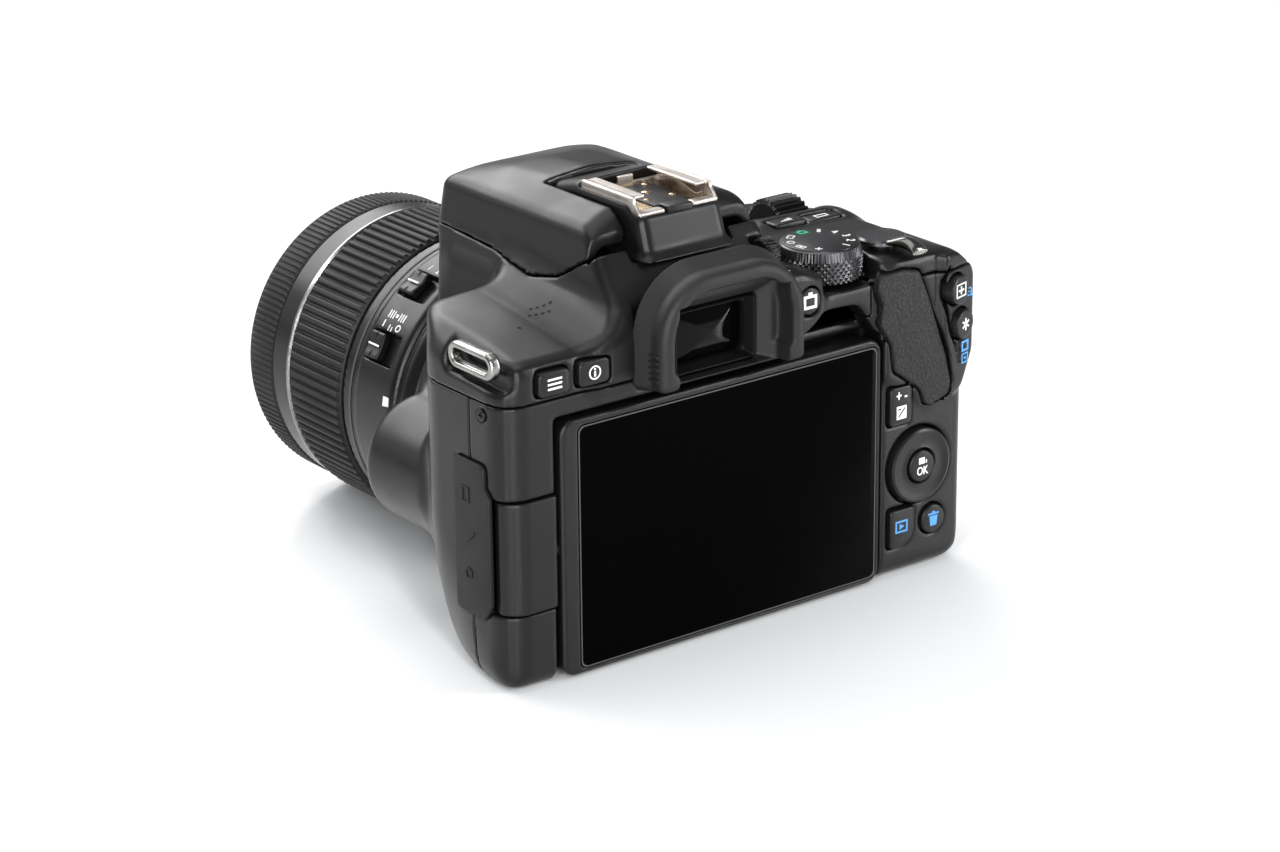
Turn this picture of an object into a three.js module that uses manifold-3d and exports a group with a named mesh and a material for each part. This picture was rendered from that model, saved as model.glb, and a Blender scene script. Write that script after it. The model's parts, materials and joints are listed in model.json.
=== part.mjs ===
// A small digital single-lens reflex camera with its standard zoom lens, built as the real one comes apart:
// shells, rubber skins, controls, folding screen, pop-up flash, mirror box and optics are separate solids.
// Millimetres. +Z is up, the lens looks along -Y and the screen faces +Y. x = y = 0 is the middle of the camera
// with its lens on, and +X is the photographer's left. Heights below are drawn from a datum BASE beneath the
// camera's underside, and add() sets each finished piece down so that it stands on z = 0.
import * as THREE from "three";
import { mergeVertices } from "three/addons/utils/BufferGeometryUtils.js";
import Module from "manifold-3d";

const wasm = await Module();
wasm.setup();

// ---- driving dimensions ----
const BASE = 3.2; // height of the underside above the drawing's datum
const LEFT = 61.2; // outer face of the body on the photographer's left
const RIGHT = -60.7; // and on the grip side, below the thumb rest
const BACK = 58; // rear face of the covers
const CHEST = 21; // front face of the body beside the lens mount
const WALL = 2.2; // thickness of the plastic shells
const GAP = 0.3; // clearance between neighbouring pieces
const AXIS = { x: 9.5, z: 36.5 }; // optical axis
const FLANGE = -3; // lens mount face
const FRONT = -66.3; // front rim of the lens
const EYE = 66.3; // back of the eyecup
const SEAM = { y: 46.3, z: 63.4, thumb: 69.8, step: -21 }; // where the covers meet

const SCREEN = { x0: -35.4, x1: 47.5, z0: 4, z1: 58.4, y0: 52, y1: 58.5 };
const SWING = { x: 54.55, y: 55.1, r: 5.35 }; // vertical hinge of the screen
const ARM = { z0: 19.8, z1: 43.6 };
const TILT_Z = 31.3; // horizontal hinge of the screen
const SHOE = { half: 10, lip: 6.3, y0: 28.6, y1: 46, floor: 93, top: 95.8 };
const DIAL = { x: -27.8, y: 47.3, r: 9, z0: 72.4, z1: 78.1 };
const LEVER = { x: -42.9, y: 49.3, r: 5.2, z0: 75.7, z1: 77 };
const WHEEL = { x: -44.5, y: 14.3, z: 69.8, r: 7, half: 5.5 };
const PAD = { x: -46.5, z: 27.5, r: 8.3, hole: 3.8 };

// ---- materials ----
const finish = (color, roughness, metalness = 0) =>
  new THREE.MeshStandardMaterial({ color, roughness, metalness });
const SHELL = finish(0x232324, 0.55);
const RUBBER = finish(0x1c1c1d, 0.85);
const CONTROL = finish(0x1e1e20, 0.45);
const GLASS = finish(0x07080c, 0.06);
const OPTIC = finish(0x2a2f3a, 0.05);
const NICKEL = finish(0xc9c6c0, 0.3, 1);
const DARK_METAL = finish(0x37373a, 0.35, 1);
const BOARD = finish(0x1d4a2e, 0.6);
const SILVERED = finish(0xd8dde2, 0.04, 1);
const INNER = finish(0x161617, 0.8);

// ---- outlines ----

// A closed outline from [a, b, radius] corners; a corner with no radius stays sharp.
function outline(corners, segments = 4) {
  const count = corners.length;
  const points = [];
  corners.forEach(([a, b, radius = 0], i) => {
    const corner = new THREE.Vector2(a, b);
    if (!radius) {
      points.push(corner);
      return;
    }
    const [pa, pb] = corners[(i + count - 1) % count];
    const [na, nb] = corners[(i + 1) % count];
    const before = new THREE.Vector2(pa, pb).sub(corner).normalize();
    const after = new THREE.Vector2(na, nb).sub(corner).normalize();
    const half = Math.acos(THREE.MathUtils.clamp(before.dot(after), -1, 1)) / 2;
    const centre = before.clone().add(after).normalize().multiplyScalar(radius / Math.sin(half)).add(corner);
    const start = before.clone().multiplyScalar(radius / Math.tan(half)).add(corner).sub(centre);
    const end = after.clone().multiplyScalar(radius / Math.tan(half)).add(corner).sub(centre);
    const turn = Math.atan2(start.cross(end), start.dot(end));
    for (let k = 0; k <= segments; k++)
      points.push(start.clone().rotateAround(new THREE.Vector2(), (turn * k) / segments).add(centre));
  });
  if (THREE.ShapeUtils.area(points) < 0) points.reverse();
  return new THREE.Shape(points);
}

const rectangle = (a0, a1, b0, b1, r = 0) => outline([[a0, b0, r], [a1, b0, r], [a1, b1, r], [a0, b1, r]]);

function disc(a, b, r, sides = 24) {
  const ring = Array.from({ length: sides }, (_, k) => {
    const angle = ((k + 0.5) / sides) * 2 * Math.PI;
    return new THREE.Vector2(a + r * Math.cos(angle), b + r * Math.sin(angle));
  });
  return new THREE.Shape(ring);
}

// ---- solids ----

// A three.js geometry as a solid that can be joined and cut.
function solid(geometry) {
  const bare = geometry.clone();
  bare.deleteAttribute("normal");
  bare.deleteAttribute("uv");
  const merged = mergeVertices(bare, 1e-4);
  return new wasm.Manifold(new wasm.Mesh({
    numProp: 3,
    vertProperties: merged.attributes.position.array,
    triVerts: new Uint32Array(merged.index.array),
  }));
}

const extruded = (shape, depth) => new THREE.ExtrudeGeometry(shape, { depth, bevelEnabled: false, steps: 1 });

// Prisms: an outline in x, y along z; in x, z along y; or in y, z along x.
const alongZ = (shape, low, high) => solid(extruded(shape, high - low).translate(0, 0, low));
const alongY = (shape, low, high) => solid(extruded(shape, high - low).rotateX(Math.PI / 2).translate(0, high, 0));
const alongX = (shape, low, high) => {
  const cyclic = new THREE.Matrix4().makeBasis(
    new THREE.Vector3(0, 1, 0), new THREE.Vector3(0, 0, 1), new THREE.Vector3(1, 0, 0));
  return solid(extruded(shape, high - low).applyMatrix4(cyclic).translate(low, 0, 0));
};
const box = (x0, x1, y0, y1, z0, z1) =>
  solid(new THREE.BoxGeometry(x1 - x0, y1 - y0, z1 - z0).translate((x0 + x1) / 2, (y0 + y1) / 2, (z0 + z1) / 2));

// A turned piece about the optical axis; its profile is a closed loop of [radius, y] pairs.
function turned(profile, sides = 40) {
  const loop = [...profile, profile[0]].map(([r, y]) => new THREE.Vector2(r, y));
  if (THREE.ShapeUtils.area(loop) < 0) loop.reverse();
  return solid(new THREE.LatheGeometry(loop, sides).translate(AXIS.x, 0, AXIS.z));
}
const tube = (inner, outer, y0, y1, sides) => turned([[inner, y0], [outer, y0], [outer, y1], [inner, y1]], sides);
const rod = (radius, y0, y1, sides = 32) => alongY(disc(AXIS.x, AXIS.z, radius, sides), y0, y1);

const joined = (...solids) => solids.reduce((sum, piece) => sum.add(piece));
const cut = (whole, ...tools) => tools.reduce((rest, tool) => rest.subtract(tool), whole);
const biggest = (whole) => whole.decompose().reduce((a, b) => (a.volume() > b.volume() ? a : b));

const camera = new THREE.Group();
function add(name, shape, material) {
  const made = shape.translate(0, 0, -BASE).asOriginal().simplify(0.02).getMesh();
  const positions = new Float32Array(made.numVert * 3);
  for (let i = 0; i < made.numVert; i++)
    positions.set(made.vertProperties.subarray(i * made.numProp, i * made.numProp + 3), i * 3);
  const geometry = new THREE.BufferGeometry()
    .setAttribute("position", new THREE.BufferAttribute(positions, 3))
    .setIndex(new THREE.BufferAttribute(made.triVerts, 1));
  const mesh = new THREE.Mesh(geometry, material);
  mesh.name = name;
  camera.add(mesh);
}

// ---- the body's outer form, and the same form drawn in by an inset ----

const planOutline = (d) => outline([
  [LEFT - d, BACK - d, 6.5], [LEFT - d, 33, 9], [52.5 - d, CHEST + d, 6],
  [RIGHT + d, CHEST + d], [RIGHT + d, BACK - d, 4.5],
]);
const blockSide = (d) => outline([[0, BASE + d], [BACK - d, BASE + d, 3.5], [BACK - d, 80], [0, 80]]);
// The lower front corner on the left is planed off: everything beyond this plane goes.
const CORNER_PLANE = { normal: [-0.859, 0.413, 0.302], offset: -32.1 };
const faceOutline = (d) => outline([
  [LEFT - d, BASE + d, 5.5], [LEFT - d, 68 - d, 4], [56 - d, 73.6 - d, 4], [38, 74.6 - d], [AXIS.x, 76 - d],
  [-16, 77.2 - d], [-52, 74.2 - d, 4], [RIGHT + d, 67.8 - d, 5], [RIGHT + d, BASE + d, 7],
]);
const gripPlan = (d) => outline([
  [RIGHT + d, 24], [RIGHT + d, 4.5 + d, 8], [-52, -3.5 + d, 7], [-36 - d, -3.5 + d, 6], [-31 - d, 10, 5],
  [-29 - d, 24],
]);
const gripSide = (d) => outline([
  [30, BASE + d], [-3.5 + d, BASE + d, 3], [-3.5 + d, 62, 5], [3, 68.8 - d, 5], [14, 73 - d, 4], [30, 76 - d],
]);
const humpFace = (d) => outline([
  [AXIS.x - 30 + d, 71], [AXIS.x - 23 + d, 78, 6], [AXIS.x - 19.6 + d, 90.6 - d, 3.5], [AXIS.x - 10, 93.8 - d, 12],
  [AXIS.x, 95.2 - d, 12], [AXIS.x + 10, 93.8 - d, 12], [AXIS.x + 19.6 - d, 90.6 - d, 3.5],
  [AXIS.x + 23 - d, 78, 6], [AXIS.x + 30 - d, 71],
]);
const humpSide = (d) => outline([
  [2 + d, 62], [-2 + d, 71], [-7 + d, 78, 3], [-7 + d, 91.4 - d, 3.5], [4, 93.8 - d, 8], [16, 95.2 - d, 8],
  [40.5 - d, 94.4 - d, 4], [47 - d, 87 - d, 4], [55 - d, 79 - d, 4], [55 - d, 62],
]);
const bossRadius = 34.5;
const BULGE = { x: 44.5, z: 35.5, r: 13.2, y0: 2.5 }; // round swelling beside the mount, around the lens release
const skirtFace = (d) => outline([
  [AXIS.x - 27 + d, BASE + d], [AXIS.x + 27 - d, BASE + d], [AXIS.x + 30 - d, 20], [AXIS.x - 30 + d, 20],
]);

function bodyForm(d) {
  const block = alongZ(planOutline(d), BASE + d, 90)
    .intersect(alongY(faceOutline(d), 0, 80)).intersect(alongX(blockSide(d), -80, 80))
    .trimByPlane(CORNER_PLANE.normal, CORNER_PLANE.offset + d);
  const grip = alongZ(gripPlan(d), BASE + d, 80)
    .intersect(alongX(gripSide(d), -70, 0)).intersect(alongY(faceOutline(d), -20, 40));
  const hump = alongY(humpFace(d), -20, 60).intersect(alongX(humpSide(d), -40, 60));
  const boss = alongY(disc(AXIS.x, AXIS.z, bossRadius - d, 36), -1 + d, 26);
  const bulge = alongY(disc(BULGE.x, BULGE.z, BULGE.r - d, 24), BULGE.y0 + d, 26.2);
  const skirt = alongY(skirtFace(d), 0.6 + d, 26.4);
  const neck = box(AXIS.x - 22 + d, AXIS.x + 22 - d, 0.9 + d, 26.2, 50, 76 - d);
  return joined(block, grip, hump, boss, bulge, skirt, neck).trimByPlane([0, 0, 1], BASE + d);
}

// The thumb rest swells out of the right rear corner, and leans off past its ridge to face the thumb.
const thumbRest = alongY(outline([
  [-34, 50.5, 3], [-36.5, 72.8, 4], [-55, 73.2, 5], [-LEFT, 68.2, 4], [-LEFT, 50, 5], [-57.5, 42.5, 5], [-49, 40.5, 4],
]), 40, 62).intersect(alongZ(outline([
  [-LEFT, 41], [-30, 41], [-30, 58.8], [-49.6, 58.8], [-51.8, 60.6, 1.2], [-LEFT, 57.9, 2.5],
]), 30, 80));

// ---- seams and openings ----

const aboveSeam = (gap) => joined(
  box(-90, 90, -30, SEAM.y - gap, SEAM.z + gap, 120),
  alongY(outline([
    [90, SEAM.z + gap], [90, 120], [-90, 120], [-90, SEAM.thumb + gap],
    [SEAM.step + gap, SEAM.thumb + gap], [SEAM.step + gap, SEAM.z + gap],
  ]), SEAM.y - gap - 1e-3, 90),
);
const shoeCutout = (gap) => box(AXIS.x - 12.6 - gap, AXIS.x + 12.6 + gap, 19.6 - gap, 60, 70, 110);
const flashRegion = (gap) => cut(
  alongX(outline([
    [-20, 81.4 + gap], [2.4, 81 + gap], [16, 79.6 + gap], [29, 77.6 + gap], [36.5, 79.3 + gap],
    [45.2 - gap, 85 + gap], [45.2 - gap, 120], [-20, 120],
  ]), -40, 60),
  shoeCutout(gap),
);
// Behind its hinge the flash needs room to swing back, so the edge of the cover slopes away from it.
const flashLedge = alongX(outline([[43.6, 84.1], [45.4, 84.1], [50.6, 89.8], [50.6, 110], [43.6, 110]]), -40, 60);
const shoeBed = box(AXIS.x - 12.6, AXIS.x + 12.6, 19.6, 60, 83.7, 110);
const armPocket = joined(
  alongZ(disc(SWING.x, SWING.y, SWING.r + GAP, 20), ARM.z0 - GAP, ARM.z1 + GAP),
  box(47, SWING.x, SCREEN.y0 - GAP, 70, ARM.z0 - GAP, ARM.z1 + GAP),
  box(SWING.x - 1, SWING.x + 8, SCREEN.y0 - GAP, 70, ARM.z0 - GAP, ARM.z1 + GAP),
);
const screenPocket = box(SCREEN.x0 - 0.6, SCREEN.x1 + 0.9, SCREEN.y0 - GAP, 70, -5, SCREEN.z1 + 0.8);
const hingeBores = alongZ(disc(SWING.x, SWING.y, 1.8, 12), ARM.z0 - 2.8, ARM.z1 + 2.8);
const mountThroat = rod(27.3, -10, 8);
const eyeHole = box(AXIS.x - 10.8, AXIS.x + 10.8, 50, 70, 61.7, 75.7);
const eyecupRecess = box(AXIS.x - 18.8, AXIS.x + 18.8, 55.5, 80, 61, 90);
const fingerNotch = alongY(
  outline([[-11, 57], [-13.5, 62.5, 2], [-19.5, 67, 3], [-29.6, 66.6, 3], [-35.8, 57]]), 55.8, 70);
const batteryDoor = (g) => rectangle(-53.4 - g, -32 + g, 2 - g, 37 + g, 2.7);
const baseOutline = (g) => outline([
  [51 + g, 45.4 + g, 4], [51 + g, 26 - g, 3], [36 + g, 25 - g, 2], [33 + g, 4 - g, 5], [-14 - g, 4 - g, 5],
  [-17 - g, 25 - g, 2], [-29 - g, 27 - g, 2], [-29 - g, 45.4 + g, 2],
]);
const terminalOutline = (g) => outline([
  [41.5 - g, 18 - g, 1], [51 + g, 18 - g], [53.3 + g, 21.4 - g], [53.3 + g, 44 + g], [51.6 + g, 46],
  [51.6 + g, 50.5 + g, 1.5], [41.5 - g, 50.5 + g, 1],
]);
const lugRecess = alongX(
  outline([[38.5, 67.5, 2], [56.5, 66.5, 2], [57.2, 71.5, 2], [49, 78, 2], [38.5, 78, 2]]), 57.8, 70);
const rightLugRecess = alongX(rectangle(25.4, 39.6, 62.8, 72, 2), -70, RIGHT + 1.8);
const gripSocketCover = (g) => rectangle(24 - g, 40 + g, 16 - g, 38 + g, 1.5);

// ---- controls: push buttons in wells of their own outline ----

// Faces "back" buttons stand on the rear face, "top" buttons on the top plate.
const PUSH_BUTTONS = [
  { name: "menu_button", face: "back", top: 59,
    shape: (g) => rectangle(45.1 - g, 52.6 + g, 64.6 - g, 69.6 + g, 1.2) },
  { name: "info_button", face: "back", top: 59,
    shape: (g) => rectangle(35.4 - g, 42.9 + g, 64.7 - g, 69.8 + g, 1.2) },
  { name: "live_view_button", face: "back", top: 58.9, shape: (g) => disc(-15.6, 70.4, 2.9 + g, 16) },
  { name: "exposure_button", face: "back", top: 58.9,
    shape: (g) => rectangle(-43.8 - g, -37.8 + g, 37.8 - g, 46.4 + g, 1) },
  { name: "set_button", face: "back", top: 59.4, shape: (g) => disc(PAD.x, PAD.z, PAD.hole - 0.35 + g, 16) },
  { name: "play_button", face: "back", top: 58.9,
    shape: (g) => outline([[-38.3 + g, 10.1 - g, 0.8], [-38.3 + g, 18.7 + g, 0.8], [-45.1 - g, 18.7 + g, 0.8],
      [-45.1 - g, 10.1 - g, 4]]) },
  { name: "erase_button", face: "back", top: 58.6, shape: (g) => disc(-50.6, 14.3, 3.2 + g, 16) },
  { name: "iso_button", face: "top", top: 75.9,
    shape: (g) => rectangle(-40.6 - g, -32.2 + g, 23.7 - g, 27.9 + g, 0.8) },
  { name: "display_button", face: "top", top: 75,
    shape: (g) => rectangle(-50.4 - g, -42 + g, 23.7 - g, 27.9 + g, 0.8) },
];
const BUTTON_DEPTH = 3.6;
const buttonSolid = ({ face, top, shape }, grow, extra = 0) =>
  (face === "back" ? alongY : alongZ)(shape(grow), top - BUTTON_DEPTH - extra, top + 4 * extra);
const buttonWells = PUSH_BUTTONS.map((button) => buttonSolid(button, 0.35, 1));

// A round plug whose axis leans from the rear face towards the grip side.
const CORNER_LEAN = THREE.MathUtils.degToRad(16);
const CORNER_BUTTONS = [
  { name: "focus_point_button", x: -54.7, y: 59, z: 65.2 },
  { name: "exposure_lock_button", x: -56.6, y: 58.5, z: 57.2 },
];
const cornerPlug = ({ x, y, z }, radius, inner, outer) =>
  solid(new THREE.CylinderGeometry(radius, radius, outer - inner, 16)
    .translate(0, (inner + outer) / 2, 0).rotateZ(CORNER_LEAN).translate(x, y, z));

const diopterWell = alongX(disc(52.2, 80.4, 3.7, 16), AXIS.x - 30, AXIS.x - 17);
const padWell = alongY(disc(PAD.x, PAD.z, PAD.r + 0.4, 28), BACK - 3.4, 70);
const dialWell = alongZ(disc(DIAL.x, DIAL.y, DIAL.r + 0.6, 28), DIAL.z0 - GAP, 90);
const dialSeat = alongZ(disc(DIAL.x, DIAL.y, DIAL.r + 2.2, 28), DIAL.z0 - 2.3, 76);
const leverStem = (g) => alongZ(disc(LEVER.x, LEVER.y, 3 + g, 16), 72 - g * 10, LEVER.z0 + 0.1);
const wheelWell = alongX(
  disc(WHEEL.y, WHEEL.z, WHEEL.r + 0.6, 20), WHEEL.x - WHEEL.half - 0.5, WHEEL.x + WHEEL.half + 0.5);
const SHUTTER = { x: -46.5, y: 2.6, r: 4.6 };
const shutterWell = alongZ(disc(SHUTTER.x, SHUTTER.y, SHUTTER.r + 0.4, 20), 60, 90);
const RELEASE = { x: 49, z: 35.5, r: 4.2, y0: 0.6, y1: 6.5 };

// ---- covers ----

function addCovers() {
  const outer = bodyForm(0);
  const shell = cut(outer, bodyForm(WALL));
  const screenLiner = box(SCREEN.x0 - 2.4, 50, SCREEN.y0 - 2.2, 57, 2.4, 61).intersect(outer);
  const hingeLiner = alongZ(disc(SWING.x, SWING.y, SWING.r + 1.8, 20), ARM.z0 - 3.4, ARM.z1 + 3.4).intersect(outer);
  const column = alongZ(outline([[48, BACK, 1.5], [LEFT, BACK, 6.5], [LEFT, 50], [48, 50]]), BASE + 5, 61).intersect(outer);
  const eyeWall = box(AXIS.x - 20.5, AXIS.x + 20.5, 53, 55.2, 60, 78).intersect(outer);
  const lugLiner = box(55.8, LEFT, 36.5, 59, 64.5, 77).intersect(outer);
  const shoeDeck = box(AXIS.x - 12.2, AXIS.x + 12.2, 21, 50.4, 81, 83.6).intersect(outer);
  const seat = dialSeat.intersect(outer);
  const whole = joined(shell, screenLiner, hingeLiner, column, eyeWall, shoeDeck, lugLiner, thumbRest, seat);
  const opened = cut(
    whole, screenPocket, armPocket, hingeBores, mountThroat, eyeHole, eyecupRecess, fingerNotch,
    alongZ(batteryDoor(GAP), 0, BASE + 5), alongZ(baseOutline(GAP), 0, BASE + 4),
    alongX(terminalOutline(GAP), LEFT - 0.9, 70), alongX(rectangle(42, 49.2, 19, 49), 56, 70), lugRecess,
    alongX(gripSocketCover(GAP), -70, RIGHT + 1.2), alongX(rectangle(26, 38, 18, 36), -70, -56),
    padWell, dialWell, leverStem(GAP), wheelWell, shutterWell,
    alongY(disc(RELEASE.x, RELEASE.z, RELEASE.r + 0.4, 20), -10, 10),
    diopterWell, rightLugRecess, ...buttonWells, ...CORNER_BUTTONS.map((at) => cornerPlug(at, 3.6, -5, 20)),
  );
  const roof = opened.intersect(aboveSeam(GAP / 2));
  const lower = cut(opened, aboveSeam(-GAP / 2));
  const gripSkin = cut(outer.intersect(gripZone(0)), bodyForm(1.1));
  const gripBed = cut(gripZone(GAP), bodyForm(1.4));
  const thumbBed = alongY(thumbPad(GAP), 57.2, 70);
  add("top_cover", biggest(cut(roof, flashRegion(-GAP), flashLedge, shoeBed, thumbBed)), SHELL);
  add("flash_cap", biggest(shell.intersect(flashRegion(0)).add(flashFrame())), SHELL);
  add("rear_cover", biggest(cut(lower, box(-90, 90, -30, SEAM.y + GAP / 2, -10, 90), thumbBed)), SHELL);
  add("front_cover", biggest(cut(lower.intersect(box(-90, 90, -30, SEAM.y - GAP / 2, -10, 90)), gripBed)), SHELL);
  add("grip_rubber", biggest(cut(gripSkin, shutterWell)), RUBBER);
  add("thumb_rubber", alongY(thumbPad(0), 57.5, 59.4), RUBBER);
  add("base_plate", cut(alongZ(baseOutline(0), BASE, BASE + 1.8), alongZ(disc(AXIS.x, 30, 3.5, 16), 0, 9)), SHELL);
  add("battery_door", alongZ(batteryDoor(0), BASE, BASE + 2), SHELL);
  add("left_terminal_cover", joined(alongX(terminalOutline(0), LEFT - 0.75, LEFT - 0.05),
    alongX(rectangle(42.4, 48.1, 19.4, 48.6), 58.4, LEFT - 0.5)), RUBBER);
  add("right_terminal_cover", joined(alongX(gripSocketCover(0), RIGHT + 0.05, RIGHT + 0.95),
    alongX(rectangle(26.4, 37.6, 18.4, 35.6), RIGHT + 0.5, -57.6)), RUBBER);
}

// The rubber skin wraps the front and outer side of the grip, short of the two controls above it.
const gripZone = (g) => joined(
  box(-70, -33 + g, -10, 18 + g, BASE + 5 - g, 61 + g),
  box(-70, -56, 10, 22.5 + g, BASE + 5 - g, 61 + g),
);
const thumbPad = (g) => outline([
  [-38 + g, 51.5, 1], [-37.2 + g, 57, 1], [-34.4 + g, 62, 2], [-34.2 + g, 71.5 + g, 1.5],
  [-43.5, 72.6 + g, 1.5], [-47 - g, 70, 3], [-53.4 - g, 55, 6], [-57.2 - g, 46.5, 1.5], [-51, 42.2 - g, 2],
  [-48.6, 40.4 - g, 2], [-46, 45.5 - g, 3], [-39, 50.2 - g, 1],
]);
// Inside the flash cap a frame carries the lamp under the front of the roof.
const flashFrame = () => joined(
  box(AXIS.x - 16, AXIS.x + 16, 5, 12, 78.4, 90).intersect(bodyForm(1)),
  box(AXIS.x - 13, AXIS.x + 13, 6.2, 11.4, 72, 79),
);

// ---- accessory shoe ----

function addShoe() {
  const side = outline([[22, 84], [50, 84], [49, 92.2, 1], [22, 92.2, 1]]);
  add("hot_shoe_base", alongX(side, AXIS.x - 11.4, AXIS.x + 11.4), SHELL);
  const rail = outline([
    [-SHOE.half, SHOE.floor - 0.5], [SHOE.half, SHOE.floor - 0.5], [SHOE.half, SHOE.top], [SHOE.lip, SHOE.top],
    [SHOE.lip, SHOE.top - 0.65], [SHOE.half - 0.8, SHOE.top - 0.65], [SHOE.half - 0.8, SHOE.floor],
    [-SHOE.half + 0.8, SHOE.floor], [-SHOE.half + 0.8, SHOE.top - 0.65], [-SHOE.lip, SHOE.top - 0.65],
    [-SHOE.lip, SHOE.top], [-SHOE.half, SHOE.top],
  ].map(([a, b]) => [a + AXIS.x, b]));
  const frontStop = box(
    AXIS.x - SHOE.half, AXIS.x + SHOE.half, SHOE.y0, SHOE.y0 + 0.8, SHOE.floor - 0.5, SHOE.floor + 1.8);
  add("hot_shoe_rails", joined(alongY(rail, SHOE.y0, SHOE.y1), frontStop), NICKEL);
}

// ---- finder ----

function addFinder() {
  const x = AXIS.x;
  add("flash_window", box(x - 12.6, x + 12.6, 5, 5.9, 72.4, 77.2), OPTIC);
  const window = box(x - 9, x + 9, 40, 70, 63.2, 74.2);
  add("viewfinder_frame", cut(box(x - 10.4, x + 10.4, 50.6, 60, 62, 75.4), window), INNER);
  add("eyepiece_lens", box(x - 8.6, x + 8.6, 54.4, 56.4, 63.6, 73.8), OPTIC);
  const arch = (half, foot, top) => outline([
    [x - half, foot, 1.2], [x - half, 74.5, 6], [x - half * 0.62, top, 5], [x + half * 0.62, top, 5],
    [x + half, 74.5, 6], [x + half, foot, 1.2],
  ]);
  add("eyecup", cut(alongY(arch(18.4, 61.5, 84.2), 55.8, EYE),
    box(x - 10.8, x + 10.8, 50, 70, 61.3, 75.8), alongY(arch(14.8, 62.6, 81.2), 60.6, 70)), RUBBER);
  add("diopter_knob", alongX(disc(52.2, 80.4, 3.3, 16), x - 20.4, x - 17.4), CONTROL);
  add("focusing_screen", box(x - 17.4, x + 17.4, 9, 32, 52, 53.2), OPTIC);
  const roof = outline([[14, 55.6], [44, 55.6], [47, 63], [41, 72], [27, 77], [15, 64]]);
  add("pentamirror", alongX(roof, x - 13, x + 13), SILVERED);
}

// ---- mirror box, shutter, sensor and electronics ----

function addInternals() {
  const { x, z } = AXIS;
  add("mirror_box", cut(box(x - 20.5, x + 20.5, 4, 35, z - 19.5, z + 15.2),
    box(x - 18, x + 18, 0, 40, z - 17.2, z + 13.6), box(x - 17.6, x + 17.6, 8, 33, z, z + 30)), INNER);
  const glass = new THREE.BoxGeometry(30, 26.5, 1.2).translate(0, -13.4, 0);
  add("reflex_mirror", solid(glass.rotateX(Math.PI / 4).translate(x, 33.6, 48.6)), SILVERED);
  const aperture = box(x - 12, x + 12, 34, 37, z - 8, z + 8);
  add("shutter_unit", cut(box(x - 21, x + 21, 35.6, 39.6, z - 19, z + 19), aperture), DARK_METAL);
  const carrier = box(x - 17, x + 17, 42.3, 43.6, z - 14, z + 14);
  add("image_sensor", joined(box(x - 13, x + 13, 40.4, 42.4, z - 9.5, z + 9.5), carrier), GLASS);
  add("main_board", box(-30, 42, 44.4, 46, 12, 55), BOARD);
  add("battery", box(-52, -38, 2.6, 35.6, BASE + 2.6, BASE + 45.8), CONTROL);
  add("memory_card", box(-35.6, -33.5, 14, 36.5, BASE + 4, BASE + 36), CONTROL);
  const threaded = alongZ(disc(x, 30, 3.1, 16), BASE, BASE + 8);
  add("tripod_socket", cut(alongZ(disc(x, 30, 6, 20), BASE + 2.2, BASE + 9.5), threaded), NICKEL);
}

// ---- strap lugs ----

function addLugs() {
  const band = 1.4;
  const lug = (y0, y1, z0, z1, x0, x1) => cut(
    alongX(rectangle(y0, y1, z0, z1, 2.6), x0, x1),
    alongX(rectangle(y0 + band, y1 - band, z0 + band, z1 - band, 1.2), x0 - 1, x1 + 1));
  add("strap_lug_left", lug(40, 55, 68.4, 74, 58.4, 60.9), NICKEL);
  add("strap_lug_right", lug(26, 39, 64.6, 70.4, -LEFT, -59.2), NICKEL);
}

// ---- folding screen ----

function addScreen() {
  const armPlan = outline([
    [47.9, 50], [LEFT, 50], [LEFT, BACK + 0.2, 6.5], [47.9, BACK + 0.2, 1],
  ]);
  const sweep = joined(
    alongZ(disc(SWING.x, SWING.y, SWING.r, 24), 0, 60), box(40, SWING.x, SCREEN.y0 + 0.2, 60, 0, 60));
  const arm = joined(
    alongZ(armPlan, ARM.z0, ARM.z1).intersect(sweep),
    alongZ(disc(SWING.x, SWING.y, 1.5, 12), ARM.z0 - 2.4, ARM.z1 + 2.4));
  add("screen_hinge_arm", cut(arm, alongX(disc(SWING.y, TILT_Z, 2, 16), 40, 52.4)), SHELL);
  add("screen_tilt_pin", alongX(disc(SWING.y, TILT_Z, 1.6, 16), 45.5, 52), NICKEL);
  const frame = cut(
    alongY(rectangle(SCREEN.x0, SCREEN.x1, SCREEN.z0, SCREEN.z1, 3), SCREEN.y0, SCREEN.y1),
    box(-34.4, 43.4, 57.2, 70, 4.9, 57), box(-32.4, 40.6, 54, 70, 7, 55),
    alongX(disc(SWING.y, TILT_Z, 1.9, 16), 45.2, 60));
  add("screen_frame", frame, SHELL);
  add("screen_glass", box(-34.1, 43.1, 57.5, SCREEN.y1 - 0.05, 5.2, 56.7), GLASS);
  add("screen_panel", box(-32, 40.2, 54.3, 57.2, 7.4, 54.6), BOARD);
}

// ---- dials, wheels and buttons ----

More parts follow.
